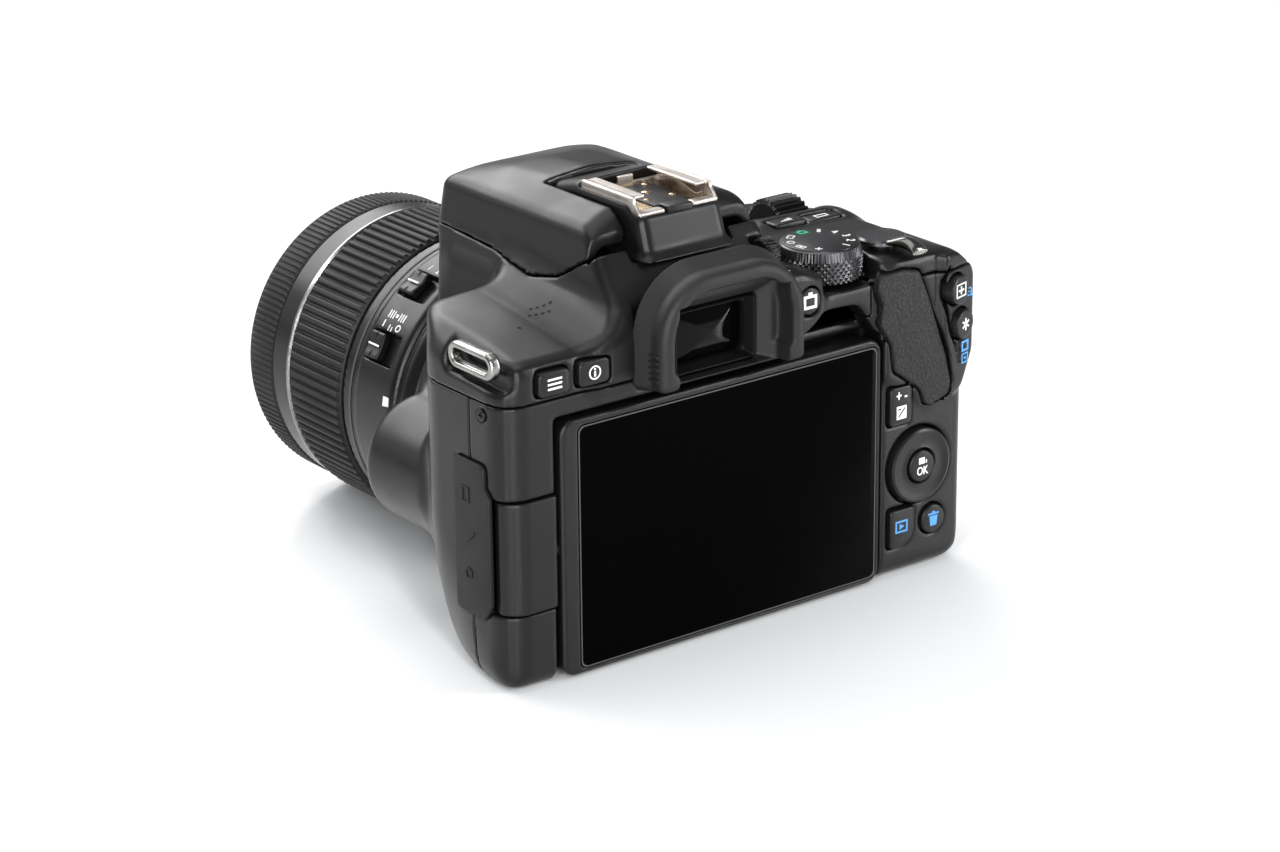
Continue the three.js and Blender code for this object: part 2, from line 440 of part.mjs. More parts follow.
function addControls() {
  const knurledDisc = (cx, cy, radius, teeth, depth) => new THREE.Shape(
    Array.from({ length: teeth * 2 }, (_, k) => {
      const angle = (k / (teeth * 2)) * 2 * Math.PI;
      const r = radius - (k % 2 ? depth : 0);
      return new THREE.Vector2(cx + r * Math.cos(angle), cy + r * Math.sin(angle));
    }));
  add("mode_dial", alongZ(knurledDisc(DIAL.x, DIAL.y, DIAL.r, 24, 0.3), DIAL.z0, DIAL.z1), CONTROL);
  const handle = outline([[-47, 51], [-46.2, 58.6, 0.8], [-42.4, 58.6, 0.8], [-39.6, 51]]);
  add("power_lever", joined(
    alongZ(disc(LEVER.x, LEVER.y, LEVER.r), LEVER.z0, LEVER.z1),
    alongZ(handle, LEVER.z0, LEVER.z1), leverStem(0)), DARK_METAL);
  const wheel = knurledDisc(WHEEL.y, WHEEL.z, WHEEL.r, 20, 0.5);
  add("main_dial", alongX(wheel, WHEEL.x - WHEEL.half, WHEEL.x + WHEEL.half), CONTROL);
  add("shutter_button", alongZ(disc(SHUTTER.x, SHUTTER.y, SHUTTER.r, 20), 64.5, 71), CONTROL);
  add("lens_release_button", alongY(disc(RELEASE.x, RELEASE.z, RELEASE.r, 20), RELEASE.y0, RELEASE.y1), CONTROL);
  const padHole = alongY(disc(PAD.x, PAD.z, PAD.hole, 20), 50, 70);
  add("cross_pad", cut(alongY(disc(PAD.x, PAD.z, PAD.r, 28), 55.2, 59.2), padHole), CONTROL);
  for (const button of PUSH_BUTTONS) add(button.name, buttonSolid(button, 0), CONTROL);
  for (const at of CORNER_BUTTONS) add(at.name, cornerPlug(at, 3.2, -2.4, 2), CONTROL);
}

// ---- lens ----

const SWITCH = { y: -17.3, half: 2.9 };
const SWITCHES = [{ name: "focus_mode_switch", angle: 55 }, { name: "stabilizer_switch", angle: 28 }];
// A block standing on the barrel at an angle above the horizontal, from radius r0 out to r1.
const onBarrel = (angle, r0, r1, y0, y1, half) =>
  solid(new THREE.BoxGeometry(r1 - r0, y1 - y0, 2 * half)
    .translate((r0 + r1) / 2, 0, 0).rotateY(-THREE.MathUtils.degToRad(angle))
    .translate(AXIS.x, (y0 + y1) / 2, AXIS.z));

function addLens() {
  add("lens_mount_ring", tube(26.9, 32, FLANGE, FLANGE + 1.7, 40), NICKEL);
  const barrel = turned([
    [25, 3.4], [25.9, 3.4], [25.9, FLANGE - GAP], [30.6, FLANGE - GAP], [32.3, -6.5], [32.9, -12], [32.9, -23.5],
    [32.5, -24.5], [32.5, -28.4], [28.8, -28.4], [28.8, -9], [25, -9],
  ]);
  const slots = SWITCHES.map(({ angle }) =>
    onBarrel(angle, 31.5, 36, SWITCH.y - 4.6, SWITCH.y + 4.6, SWITCH.half + GAP));
  add("lens_barrel", cut(barrel, ...slots), SHELL);
  for (const { name, angle } of SWITCHES)
    add(name, onBarrel(angle, 31.8, 33.9, SWITCH.y - 4.3, SWITCH.y + 0.7, SWITCH.half), CONTROL);
  add("zoom_ring", tube(30.6, 33.25, -50.4, -28.8, 40), RUBBER);
  add("front_barrel", turned([
    [27, -12], [28.4, -12], [28.4, -30], [30.2, -30], [30.2, -50.8], [32.4, -50.8], [32.4, -56.6], [30.4, -56.6],
    [30.4, -65.6], [21, -60], [21, -52], [27, -49],
  ]), SHELL);
  add("focus_ring", tube(30.8, 32.7, FRONT, -56.9, 40), RUBBER);
  add("front_element", turned([[0, -58.6], [12, -57.8], [20.6, -55.4], [20.6, -52.6], [0, -52.6]], 32), OPTIC);
  add("rear_element", rod(14, -3, 1.5, 28), OPTIC);
}

addCovers();
addShoe();
addFinder();
addInternals();
addLugs();
addScreen();
addControls();
addLens();

export default camera;
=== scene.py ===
"""A small single-lens reflex camera with its zoom lens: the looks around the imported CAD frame.

Lengths are millimetres until a mesh is made, where MM turns them into metres. +X is the photographer's
left, +Y points at the photographer, the lens looks along -Y and +Z is up. Heights are drawn from a datum
that lies BASE below the camera's underside; a mesh is lowered by BASE as it is made, to stand on z = 0."""
import json
import math

import bmesh
import bpy
import numpy as np
from mathutils import Matrix, Vector


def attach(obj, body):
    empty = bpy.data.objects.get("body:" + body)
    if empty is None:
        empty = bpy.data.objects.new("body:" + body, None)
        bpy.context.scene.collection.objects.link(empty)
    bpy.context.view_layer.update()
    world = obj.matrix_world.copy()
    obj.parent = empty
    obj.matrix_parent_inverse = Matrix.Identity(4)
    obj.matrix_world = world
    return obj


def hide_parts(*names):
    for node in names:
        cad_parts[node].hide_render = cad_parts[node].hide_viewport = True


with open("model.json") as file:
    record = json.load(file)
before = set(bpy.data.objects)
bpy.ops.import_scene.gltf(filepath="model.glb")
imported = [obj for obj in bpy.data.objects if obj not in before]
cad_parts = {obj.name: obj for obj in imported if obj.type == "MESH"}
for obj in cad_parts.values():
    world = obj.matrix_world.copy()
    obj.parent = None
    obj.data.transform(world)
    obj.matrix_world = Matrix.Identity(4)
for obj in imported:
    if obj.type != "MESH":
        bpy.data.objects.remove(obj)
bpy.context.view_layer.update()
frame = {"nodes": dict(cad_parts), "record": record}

# ---- driving dimensions, the same as the CAD model's ----
MM = 0.001
BASE = 3.2  # the underside, above the datum
DATUM = Vector((0, 0, BASE))
LEFT, RIGHT, BACK, CHEST = 61.2, -60.7, 58.0, 21.0
WALL, GAP, HALF_SEAM = 2.2, 0.3, 0.12
AX, AZ = 9.5, 36.5  # optical axis
SEAM_Y, SEAM_Z, SEAM_THUMB, SEAM_STEP = 46.3, 63.4, 69.8, -33.0
SWING_X, SWING_Y, SWING_R = 54.55, 55.1, 5.35
ARM_Z0, ARM_Z1, TILT_Z = 19.8, 43.6, 31.3
SCREEN_X0, SCREEN_X1, SCREEN_Z0, SCREEN_Z1 = -35.4, 47.5, 4.0, 58.4
SCREEN_Y0, SCREEN_Y1 = 52.0, 58.5
DIAL_X, DIAL_Y, DIAL_R, DIAL_Z0, DIAL_Z1 = -27.8, 47.3, 9.0, 72.4, 78.1
LEVER_X, LEVER_Y, LEVER_Z0, LEVER_R = -42.9, 49.3, 75.7, 5.2
WHEEL_X, WHEEL_Y, WHEEL_Z, WHEEL_R = -44.5, 14.3, 69.8, 7.0
PAD_X, PAD_Z, PAD_R = -46.5, 27.5, 8.3
SHUTTER_X, SHUTTER_Y, SHUTTER_R = -46.5, 2.6, 4.6
RELEASE_X, RELEASE_Z, RELEASE_R, RELEASE_Y0, RELEASE_Y1 = 49.0, 35.5, 4.2, 0.6, 6.5
SHOE_HALF, SHOE_LIP, SHOE_Y0, SHOE_Y1, SHOE_FLOOR, SHOE_TOP = 10.0, 6.3, 28.6, 46.0, 93.0, 95.8
DIOPTER_Y, DIOPTER_Z = 52.2, 80.4
SIDE_SCREW = (50.7, 60.9)  # y, z
CORNER_LEAN = math.radians(16)  # the facet beside the thumb rest, about the upright


# ---- outlines ----

def outline(corners, segments=6):
    """A closed outline from (a, b, radius) corners, counter-clockwise."""
    points = []
    count = len(corners)
    for i, corner in enumerate(corners):
        radius = corner[2] if len(corner) > 2 else 0
        here = Vector(corner[:2])
        if not radius:
            points.append(here)
            continue
        before = (Vector(corners[i - 1][:2]) - here).normalized()
        after = (Vector(corners[(i + 1) % count][:2]) - here).normalized()
        half = before.angle(after) / 2
        centre = here + (before + after).normalized() * radius / math.sin(half)
        start = here + before * radius / math.tan(half) - centre
        end = here + after * radius / math.tan(half) - centre
        turn = math.atan2(start.x * end.y - start.y * end.x, start.dot(end))
        for k in range(segments + 1):
            points.append(centre + start @ Matrix.Rotation(-turn * k / segments, 2))
    area = sum(p.x * q.y - p.y * q.x for p, q in zip(points, points[1:] + points[:1]))
    return points if area > 0 else points[::-1]


def rectangle(a0, a1, b0, b1, r=0, segments=6):
    return outline([(a0, b0, r), (a1, b0, r), (a1, b1, r), (a0, b1, r)], segments)


def growing_rectangle(a0, a1, b0, b1, r):
    """A rectangle as a function of how far it is grown outwards."""
    return lambda g=0.0: rectangle(a0 - g, a1 + g, b0 - g, b1 + g, r)


def growing_circle(a, b, r):
    return lambda g=0.0: circle(a, b, r + g)


def circle(a, b, r, sides=48):
    return [Vector((a + r * math.cos(2 * math.pi * k / sides), b + r * math.sin(2 * math.pi * k / sides)))
            for k in range(sides)]


# ---- distance fields: negative inside ----

def grid_step(full):
    return full


BODY_STEP = grid_step(0.42)


def smin(a, b, k):
    """The union of two fields, blended over a width k; smax is their overlap."""
    h = np.maximum(k - np.abs(a - b), 0) / k
    return np.minimum(a, b) - h * h * k / 4


def smax(a, b, k):
    return -smin(-a, -b, k)


def inside_outline(points, u, v):
    """Distance to a closed outline in the plane of u and v."""
    u, v = np.broadcast_arrays(u, v)
    best = np.full(u.shape, 1e9, np.float32)
    inside = np.zeros(u.shape, bool)
    for p, q in zip(points, points[1:] + points[:1]):
        eu, ev = q.x - p.x, q.y - p.y
        t = np.clip(((u - p.x) * eu + (v - p.y) * ev) / (eu * eu + ev * ev), 0, 1)
        best = np.minimum(best, (u - p.x - t * eu) ** 2 + (v - p.y - t * ev) ** 2)
        if ev:
            inside ^= ((v >= p.y) != (v >= q.y)) & (u < eu * (v - p.y) / ev + p.x)
    return (np.where(inside, -1, 1) * np.sqrt(best)).astype(np.float32)


def slab(t, low, high):
    """Distance to the layer between two levels of t."""
    return np.maximum(low - t, t - high)


def disc(u, v, a, b, r):
    """Distance to the circle of radius r about (a, b)."""
    return np.sqrt((u - a) ** 2 + (v - b) ** 2) - r


def ball_box(x, y, z, low, high, r=0.0):
    """A box with rounded edges."""
    q = [np.abs(t - (a + b) / 2) - (b - a) / 2 + r for t, a, b in zip((x, y, z), low, high)]
    outside = np.sqrt(sum(np.maximum(t, 0) ** 2 for t in q))
    return outside + np.minimum(np.maximum(q[0], np.maximum(q[1], q[2])), 0) - r


def round_bar(u, v, w, a, b, radius, low, high, edge=0.4):
    """A cylinder along w."""
    return smax(disc(u, v, a, b, radius), slab(w, low, high), edge)


class Field:
    """Distances on a regular grid; cut works only in the part of it that a feature touches."""

    def __init__(self, low, high, step):
        self.low, self.step = np.array(low, np.float32), step
        self.axes = [np.arange(a, b + step, step, dtype=np.float32) for a, b in zip(low, high)]
        self.values = None

    def coordinates(self, slices=(slice(None),) * 3):
        x, y, z = (a[s] for a, s in zip(self.axes, slices))
        return x[:, None, None], y[None, :, None], z[None, None, :]

    def near(self, low, high):
        return tuple(slice(max(int((a - l) / self.step) - 1, 0), max(int((b - l) / self.step) + 2, 0))
                     for a, b, l in zip(low, high, self.low))

    def cut(self, low, high, shape, k=0.5):
        where = self.near(low, high)
        part = self.values[where]
        self.values[where] = smax(part, -shape(*self.coordinates(where)), k)


def surface_net(values, low, step):
    """The zero surface: one vertex in each crossed cell and one quad on each crossed edge."""
    inside = values < 0
    shape = [n - 1 for n in values.shape]
    count = np.zeros(shape, np.int8)
    for i in (0, 1):
        for j in (0, 1):
            for k in (0, 1):
                count += inside[i:shape[0] + i, j:shape[1] + j, k:shape[2] + k]
    mixed = (count > 0) & (count < 8)
    cells = np.argwhere(mixed)
    index = np.full(shape, -1, np.int32)
    index[mixed] = np.arange(len(cells))
    total = np.zeros((len(cells), 3))
    crossings = np.zeros(len(cells))
    for axis in range(3):
        others = [a for a in range(3) if a != axis]
        for i in (0, 1):
            for j in (0, 1):
                start = cells.copy()
                start[:, others[0]] += i
                start[:, others[1]] += j
                end = start.copy()
                end[:, axis] += 1
                a, b = values[tuple(start.T)], values[tuple(end.T)]
                crossed = (a < 0) != (b < 0)
                point = start[crossed].astype(float)
                point[:, axis] += a[crossed] / (a[crossed] - b[crossed])
                total[crossed] += point
                crossings[crossed] += 1
    vertices = low + step * total / crossings[:, None]
    quads = []
    for axis in range(3):
        u, v = (axis + 1) % 3, (axis + 2) % 3
        first = [slice(None)] * 3
        second = [slice(None)] * 3
        first[axis], second[axis] = slice(0, -1), slice(1, None)
        starts, ends = inside[tuple(first)], inside[tuple(second)]
        for leaving in (True, False):
            edges = np.argwhere((starts & ~ends) if leaving else (~starts & ends))
            good = (edges[:, u] > 0) & (edges[:, v] > 0)
            good &= (edges[:, u] < shape[u]) & (edges[:, v] < shape[v])
            edges = edges[good]
            ring = []
            for du, dv in ((0, 0), (-1, 0), (-1, -1), (0, -1)):
                cell = edges.copy()
                cell[:, u] += du
                cell[:, v] += dv
                ring.append(index[tuple(cell.T)])
            quad = np.stack(ring if leaving else ring[::-1], 1)
            quads.append(quad[(quad >= 0).all(1)])
    return vertices, np.concatenate(quads)


# ---- meshes ----

def put(name, vertices, faces, body, material, nodes=(), sharp=32.0):
    """A closed mesh from vertices in millimetres, riding on a body and standing for the given CAD nodes."""
    mesh = bpy.data.meshes.new(name)
    places = (np.asarray(vertices, float) - np.array(DATUM)) * MM
    mesh.from_pydata(places.tolist(), [], [list(map(int, f)) for f in faces])
    work = bmesh.new()
    work.from_mesh(mesh)
    bmesh.ops.recalc_face_normals(work, faces=work.faces)
    work.to_mesh(mesh)
    work.free()
    return place(name, mesh, body, material, nodes, sharp)


def place(name, mesh, body, material, nodes=(), sharp=32.0):
    """Shades a mesh, with edges sharper than the given degrees left sharp, and gives it to its body."""
    mesh.polygons.foreach_set("use_smooth", [True] * len(mesh.polygons))
    if sharp:
        mesh.set_sharp_from_angle(angle=math.radians(sharp))
    mesh.materials.clear()
    mesh.materials.append(material)
    thing = bpy.data.objects.new(name, mesh)
    bpy.context.scene.collection.objects.link(thing)
    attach(thing, body)
    if nodes:
        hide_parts(*nodes)
    return thing


def from_field(name, values, low, step, body, material, nodes=()):
    """The surface of a grid of distances as a piece."""
    vertices, quads = surface_net(values, np.asarray(low, float), step)
    mesh = bpy.data.meshes.new(name)
    mesh.vertices.add(len(vertices))
    mesh.vertices.foreach_set("co", ((vertices - np.array(DATUM)) * MM).astype(np.float32).ravel())
    mesh.loops.add(quads.size)
    mesh.loops.foreach_set("vertex_index", quads.ravel().astype(np.int32))
    mesh.polygons.add(len(quads))
    mesh.polygons.foreach_set("loop_start", np.arange(0, quads.size, 4, dtype=np.int32))
    mesh.update(calc_edges=True)
    drop_crumbs(mesh)
    return place(name, mesh, body, material, nodes, sharp=None)


def drop_crumbs(mesh):
    """Keeps the bodies that hold at least a fiftieth of the vertices."""
    count = len(mesh.vertices)
    edges = np.empty(len(mesh.edges) * 2, np.int32)
    mesh.edges.foreach_get("vertices", edges)
    edges = edges.reshape(-1, 2)
    label = np.arange(count)
    while True:
        low = np.minimum(label[edges[:, 0]], label[edges[:, 1]])
        new = label.copy()
        np.minimum.at(new, edges[:, 0], low)
        np.minimum.at(new, edges[:, 1], low)
        new = new[new]
        if (new == label).all():
            break
        label = new
    names, sizes = np.unique(label, return_counts=True)
    small = set(names[sizes < count / 50].tolist())
    if not small:
        return
    work = bmesh.new()
    work.from_mesh(mesh)
    work.verts.ensure_lookup_table()
    bmesh.ops.delete(work, geom=[work.verts[i] for i in np.flatnonzero(np.isin(label, list(small)))],
                     context="VERTS")
    work.to_mesh(mesh)
    work.free()


def carved(name, low, high, step, shape, body, material, nodes=()):
    """A piece from a distance function over its own small grid."""
    grid = Field(np.array(low) - 1.5 * step, np.array(high) + 1.5 * step, step)
    values = np.broadcast_to(shape(*grid.coordinates()), [len(a) for a in grid.axes]).astype(np.float32)
    return from_field(name, values, grid.low, step, body, material, nodes)


PLANES = {
    "z": lambda a, b, h: (a, b, h),
    "y": lambda a, b, h: (a, h, b),
    "x": lambda a, b, h: (h, a, b),
}


def loft(rings, cap=True):
    """Vertices and faces through closed rings of equal length."""
    count = len(rings[0])
    vertices = [p for ring in rings for p in ring]
    faces = []
    for start in range(0, (len(rings) - 1) * count, count):
        for k in range(count):
            n = (k + 1) % count
            faces.append((start + k, start + n, start + count + n, start + count + k))
    if cap:
        faces.append(tuple(range(count))[::-1])
        faces.append(tuple(range((len(rings) - 1) * count, len(rings) * count)))
    return vertices, faces


def soft_prism(shape, low, high, edge, plane="y", foot=0.0, steps=4):
    """A prism of shape(growth) with a rounded far edge, and a rounded near one where foot isn't 0."""
    away = 1 if high > low else -1
    levels = []
    if foot:
        for k in range(steps + 1):
            turn = math.pi / 2 * k / steps
            levels.append((-foot * (1 - math.sin(turn)), low + away * foot * (1 - math.cos(turn))))
    else:
        levels.append((0, low))
    for k in range(steps + 1):
        turn = math.pi / 2 * k / steps
        levels.append((-edge * (1 - math.cos(turn)), high - away * edge * (1 - math.sin(turn))))
    at = PLANES[plane]
    return loft([[at(p[0], p[1], h) for p in shape(grow)] for grow, h in levels])


def revolve(profile, sides, centre=(AX, 0, AZ), axis="y", ripple=None):
    """A closed profile of (radius, height) turned about an axis; ripple(angle, r, h) moves a point outwards."""
    angles = 2 * np.pi * np.arange(sides) / sides
    rings = []
    for r, h in profile:
        radius = r + (ripple(angles, r, h) if ripple else 0)
        radius = np.broadcast_to(radius, angles.shape)
        a, b = radius * np.cos(angles), radius * np.sin(angles)
        if axis == "y":
            ring = np.stack([centre[0] + a, np.full(sides, centre[1] + h), centre[2] + b], 1)
        elif axis == "z":
            ring = np.stack([centre[0] + a, centre[1] + b, np.full(sides, centre[2] + h)], 1)
        else:
            ring = np.stack([np.full(sides, centre[0] + h), centre[1] + a, centre[2] + b], 1)
        rings.append([tuple(p) for p in ring])
    vertices, faces = loft(rings + rings[:1], cap=False)
    count = len(rings) * sides
    return vertices[:count], [tuple(i % count for i in f) for f in faces]


def solid_of_revolution(profile, sides, centre, axis, ripple=None):
    """An open profile from axis to axis, closed by its end faces."""
    vertices, faces = revolve(profile, sides, centre, axis, ripple)
    faces = faces[:(len(profile) - 1) * sides]
    last = (len(profile) - 1) * sides
    faces += [tuple(range(sides)), tuple(range(last, last + sides))]
    return vertices, faces


# ---- materials ----

def new_material(name, colour, roughness, metallic=0.0, **sockets):
    material = bpy.data.materials.new(name + "_finish")
    material.use_nodes = True
    material.diffuse_color = (*colour, 1)
    shader = material.node_tree.nodes["Principled BSDF"]
    shader.inputs["Base Color"].default_value = (*colour, 1)
    shader.inputs["Roughness"].default_value = roughness
    shader.inputs["Metallic"].default_value = metallic
    for key, value in sockets.items():
        shader.inputs[key.replace("_", " ")].default_value = value
    return material, material.node_tree, shader


def add_node(tree, kind, **inputs):
    node = tree.nodes.new(kind)
    for key, value in inputs.items():
        node.inputs[key.replace("_", " ")].default_value = value
    return node


def texture(tree, kind, size, vector=None, **inputs):
    """A noise or cell texture whose features are about size millimetres."""
    node = add_node(tree, kind, Scale=1 / (size * MM), **inputs)
    if vector is None:
        vector = tree.nodes.new("ShaderNodeTexCoord").outputs["Object"]
    tree.links.new(vector, node.inputs["Vector"])
    return node


def spread(tree, source, low, high, socket, source_low=0.3, source_high=0.7):
    """Maps a texture's value onto a shader socket."""
    node = add_node(tree, "ShaderNodeMapRange", From_Min=source_low, From_Max=source_high, To_Min=low,
                    To_Max=high)
    tree.links.new(source, node.inputs["Value"])
    tree.links.new(node.outputs["Result"], socket)


def tint(tree, source, dark, light, socket, low=0.35, high=0.65):
    ramp = tree.nodes.new("ShaderNodeValToRGB")
    ramp.color_ramp.elements[0].position = low
    ramp.color_ramp.elements[1].position = high
    ramp.color_ramp.elements[0].color = (*dark, 1)
    ramp.color_ramp.elements[1].color = (*light, 1)
    tree.links.new(source, ramp.inputs["Fac"])
    tree.links.new(ramp.outputs["Color"], socket)


def bump(tree, shader, source, depth, strength=1.0, under=None):
    node = add_node(tree, "ShaderNodeBump", Strength=strength, Distance=depth * MM)
    tree.links.new(source, node.inputs["Height"])
    if under:
        tree.links.new(under.outputs["Normal"], node.inputs["Normal"])
    tree.links.new(node.outputs["Normal"], shader.inputs["Normal"])
    return node


def moulded(name, colour, roughness, grain=0.22, depth=0.012, lift=1.35, shine=0.3, **sockets):
    """Moulded plastic or rubber: a fine speckled grain, with slow changes in gloss from handling."""
    material, tree, shader = new_material(name, colour, roughness, Specular_IOR_Level=shine, **sockets)
    fine = texture(tree, "ShaderNodeTexNoise", grain, Detail=2.0, Roughness=0.6)
    slow = texture(tree, "ShaderNodeTexNoise", 14.0, Detail=3.0, Roughness=0.55)
    light = tuple(min(c * lift + 0.001, 1) for c in colour)
    tint(tree, fine.outputs["Fac"], colour, light, shader.inputs["Base Color"], 0.4, 0.72)
    spread(tree, slow.outputs["Fac"], roughness - 0.05, roughness + 0.06, shader.inputs["Roughness"])
    bump(tree, shader, fine.outputs["Fac"], depth)
    return material


def leather_grain(name, colour, roughness):
    """Rubber moulded with a pebbled leather grain."""
    material, tree, shader = new_material(name, colour, roughness, Specular_IOR_Level=0.35)
    warp = texture(tree, "ShaderNodeTexNoise", 1.6, Detail=1.0)
    coordinate = tree.nodes.new("ShaderNodeTexCoord")
    mix = tree.nodes.new("ShaderNodeVectorMath")
    mix.operation = "MULTIPLY_ADD"
    mix.inputs[1].default_value = (0.0009,) * 3
    tree.links.new(warp.outputs["Color"], mix.inputs[0])
    tree.links.new(coordinate.outputs["Object"], mix.inputs[2])
    cells = texture(tree, "ShaderNodeTexVoronoi", 0.7, mix.outputs["Vector"])
    cells.feature = "SMOOTH_F1"
    cells.inputs["Smoothness"].default_value = 0.35
    fine = texture(tree, "ShaderNodeTexNoise", 0.2, Detail=2.0)
    light = tuple(c * 1.6 for c in colour)
    distance = cells.outputs["Distance"]
    tint(tree, distance, light, colour, shader.inputs["Base Color"], 0.1, 0.6)
    spread(tree, distance, roughness - 0.1, roughness + 0.12, shader.inputs["Roughness"], 0.1, 0.6)
    invert = add_node(tree, "ShaderNodeMath")
    invert.operation = "MULTIPLY"
    invert.inputs[1].default_value = -1
    tree.links.new(distance, invert.inputs[0])
    under = bump(tree, shader, fine.outputs["Fac"], 0.02)
    bump(tree, shader, invert.outputs[0], 0.2, 0.8, under)
    return material


def brushed(name, colour, roughness, centre=None, along=(1, 40, 40), metallic=1.0, depth=0.012):
    """Metal with fine parallel lines, or lines around a centre."""
    material, tree, shader = new_material(name, colour, roughness, metallic)
    coordinate = tree.nodes.new("ShaderNodeTexCoord")
    if centre is None:
        mapping = add_node(tree, "ShaderNodeMapping", Scale=along)
        tree.links.new(coordinate.outputs["Object"], mapping.inputs["Vector"])
        vector = mapping.outputs["Vector"]
    else:
        offset = tree.nodes.new("ShaderNodeVectorMath")
        offset.operation = "DISTANCE"
        flat = tree.nodes.new("ShaderNodeVectorMath")
        flat.operation = "MULTIPLY"
        flat.inputs[1].default_value = (1, 1, 0)
        tree.links.new(coordinate.outputs["Object"], flat.inputs[0])
        tree.links.new(flat.outputs["Vector"], offset.inputs[0])
        offset.inputs[1].default_value = (centre[0] * MM, centre[1] * MM, 0)
        join = tree.nodes.new("ShaderNodeCombineXYZ")
        tree.links.new(offset.outputs["Value"], join.inputs["X"])
        vector = join.outputs["Vector"]
    lines = texture(tree, "ShaderNodeTexNoise", 0.12 if centre else 6.0, vector, Detail=3.0)
    slow = texture(tree, "ShaderNodeTexNoise", 5.0, Detail=2.0)
    light = tuple(min(c * 1.25, 1) for c in colour)
    tint(tree, slow.outputs["Fac"], colour, light, shader.inputs["Base Color"])
    spread(tree, lines.outputs["Fac"], roughness - 0.08, roughness + 0.12, shader.inputs["Roughness"])
    bump(tree, shader, lines.outputs["Fac"], depth)
    return material


def glassy(name, colour, roughness=0.03, **sockets):
    """A polished dark surface with faint smears."""
    material, tree, shader = new_material(name, colour, roughness, **sockets)
    smears = texture(tree, "ShaderNodeTexNoise", 22.0, Detail=4.0, Roughness=0.65)
    spread(tree, smears.outputs["Fac"], roughness, roughness + 0.05, shader.inputs["Roughness"], 0.45, 0.8)
    return material


def printed(name, colour):
    """Screen-printed ink, slightly uneven; the grey painted edge highlight is made with this finish too."""
    material, tree, shader = new_material(name, colour, 0.5)
    ink = texture(tree, "ShaderNodeTexNoise", 0.25, Detail=2.0)
    dark = tuple(c * 0.82 for c in colour)
    tint(tree, ink.outputs["Fac"], dark, colour, shader.inputs["Base Color"], 0.3, 0.55)
    bump(tree, shader, ink.outputs["Fac"], 0.006)
    return material


FINISH = {
    "body_plastic": moulded("body_plastic", (0.003, 0.003, 0.0033), 0.34),
    "control_plastic": moulded("control_plastic", (0.0038, 0.0038, 0.004), 0.34, depth=0.008),
    "lens_plastic": moulded("lens_plastic", (0.003, 0.0031, 0.0034), 0.3, depth=0.006),
    "ring_rubber": moulded("ring_rubber", (0.005, 0.0051, 0.0054), 0.55, 0.18, 0.01),
    "eyecup_rubber": moulded("eyecup_rubber", (0.0085, 0.0087, 0.0093), 0.52, 0.3, 0.01, 1.15),
    "inner_plastic": moulded("inner_plastic", (0.002, 0.002, 0.0022), 0.6, shine=0.15),
    "grip_rubber": leather_grain("grip_rubber", (0.0062, 0.0062, 0.0065), 0.5),
    "screen_glass": glassy("screen_glass", (0.0004, 0.0004, 0.0006), 0.05, Specular_IOR_Level=0.03, IOR=1.35),
    "optical_glass": glassy("optical_glass", (0.002, 0.003, 0.005), 0.03, Specular_IOR_Level=0.4,
                            Coat_Weight=0.25, Coat_Roughness=0.03, Coat_Tint=(0.6, 0.75, 1.0, 1)),
    "nickel": brushed("nickel", (0.5, 0.46, 0.42), 0.4, along=(12, 2, 12), depth=0.0015),
    "dark_metal": brushed("dark_metal", (0.09, 0.09, 0.095), 0.25, centre=(LEVER_X, LEVER_Y)),
    "silvered": glassy("silvered", (0.8, 0.83, 0.86), 0.02, metallic=1.0),
    "circuit_board": moulded("circuit_board", (0.01, 0.07, 0.03), 0.4),
    "cell_case": moulded("cell_case", (0.03, 0.03, 0.033), 0.4),
}
GLOSS_BLACK = glassy("gloss_black", (0.001, 0.001, 0.0012), 0.09, Specular_IOR_Level=0.3)
EYEPIECE_GLASS = glassy("eyepiece_glass", (0.0008, 0.0008, 0.001), 0.06, Specular_IOR_Level=0.12)
DIAL_TOP = brushed("dial_top", (0.022, 0.022, 0.024), 0.3, centre=(DIAL_X, DIAL_Y), metallic=0.85)
KNURL_METAL = brushed("knurl_metal", (0.07, 0.07, 0.073), 0.34, along=(1, 1, 1), depth=0.002)
BRIGHT_RING = brushed("bright_ring", (0.17, 0.17, 0.175), 0.2, along=(1, 1, 1))
TAB_METAL = brushed("tab_metal", (0.13, 0.125, 0.12), 0.16, along=(20, 2, 20), depth=0.004)
LUG_METAL = brushed("lug_metal", (0.26, 0.255, 0.245), 0.24, along=(1, 1, 1), depth=0.002)
SHOE_FLOOR_METAL = brushed("shoe_floor_metal", (0.34, 0.25, 0.16), 0.24, along=(30, 2, 30))
WHITE_INK = printed("white_ink", (0.78, 0.78, 0.77))
BLUE_INK = printed("blue_ink", (0.07, 0.28, 0.62))
GREEN_INK = printed("green_ink", (0.02, 0.42, 0.2))
# A grey painted highlight, not ink: it is laid along the screen glass's edge and on the lens barrel's ridge.
EDGE_HIGHLIGHT_GREY = printed("painted_edge_highlight", (0.04, 0.04, 0.042))
SCREW_BLACK = brushed("screw_black", (0.03, 0.03, 0.032), 0.3, along=(1, 1, 1))
SLOT_OF = {material.name: slot for slot, material in FINISH.items()}
FINISHES_OF_SLOT = {
    "screen_glass": [GLOSS_BLACK],
    "optical_glass": [EYEPIECE_GLASS],
    "nickel": [BRIGHT_RING, TAB_METAL, LUG_METAL, SHOE_FLOOR_METAL],
    "dark_metal": [DIAL_TOP, KNURL_METAL, SCREW_BLACK],
    "control_plastic": [WHITE_INK, BLUE_INK, GREEN_INK, EDGE_HIGHLIGHT_GREY],
}
for slot_name, finishes in FINISHES_OF_SLOT.items():
    SLOT_OF.update({finish.name: slot_name for finish in finishes})


# ---- the body's form: one field of distances, parted into the covers ----

def plan(points):
    """A distance in space from an outline seen from above; face and side see it from behind and from the end."""
    return lambda x, y, z: inside_outline(points, x, y)


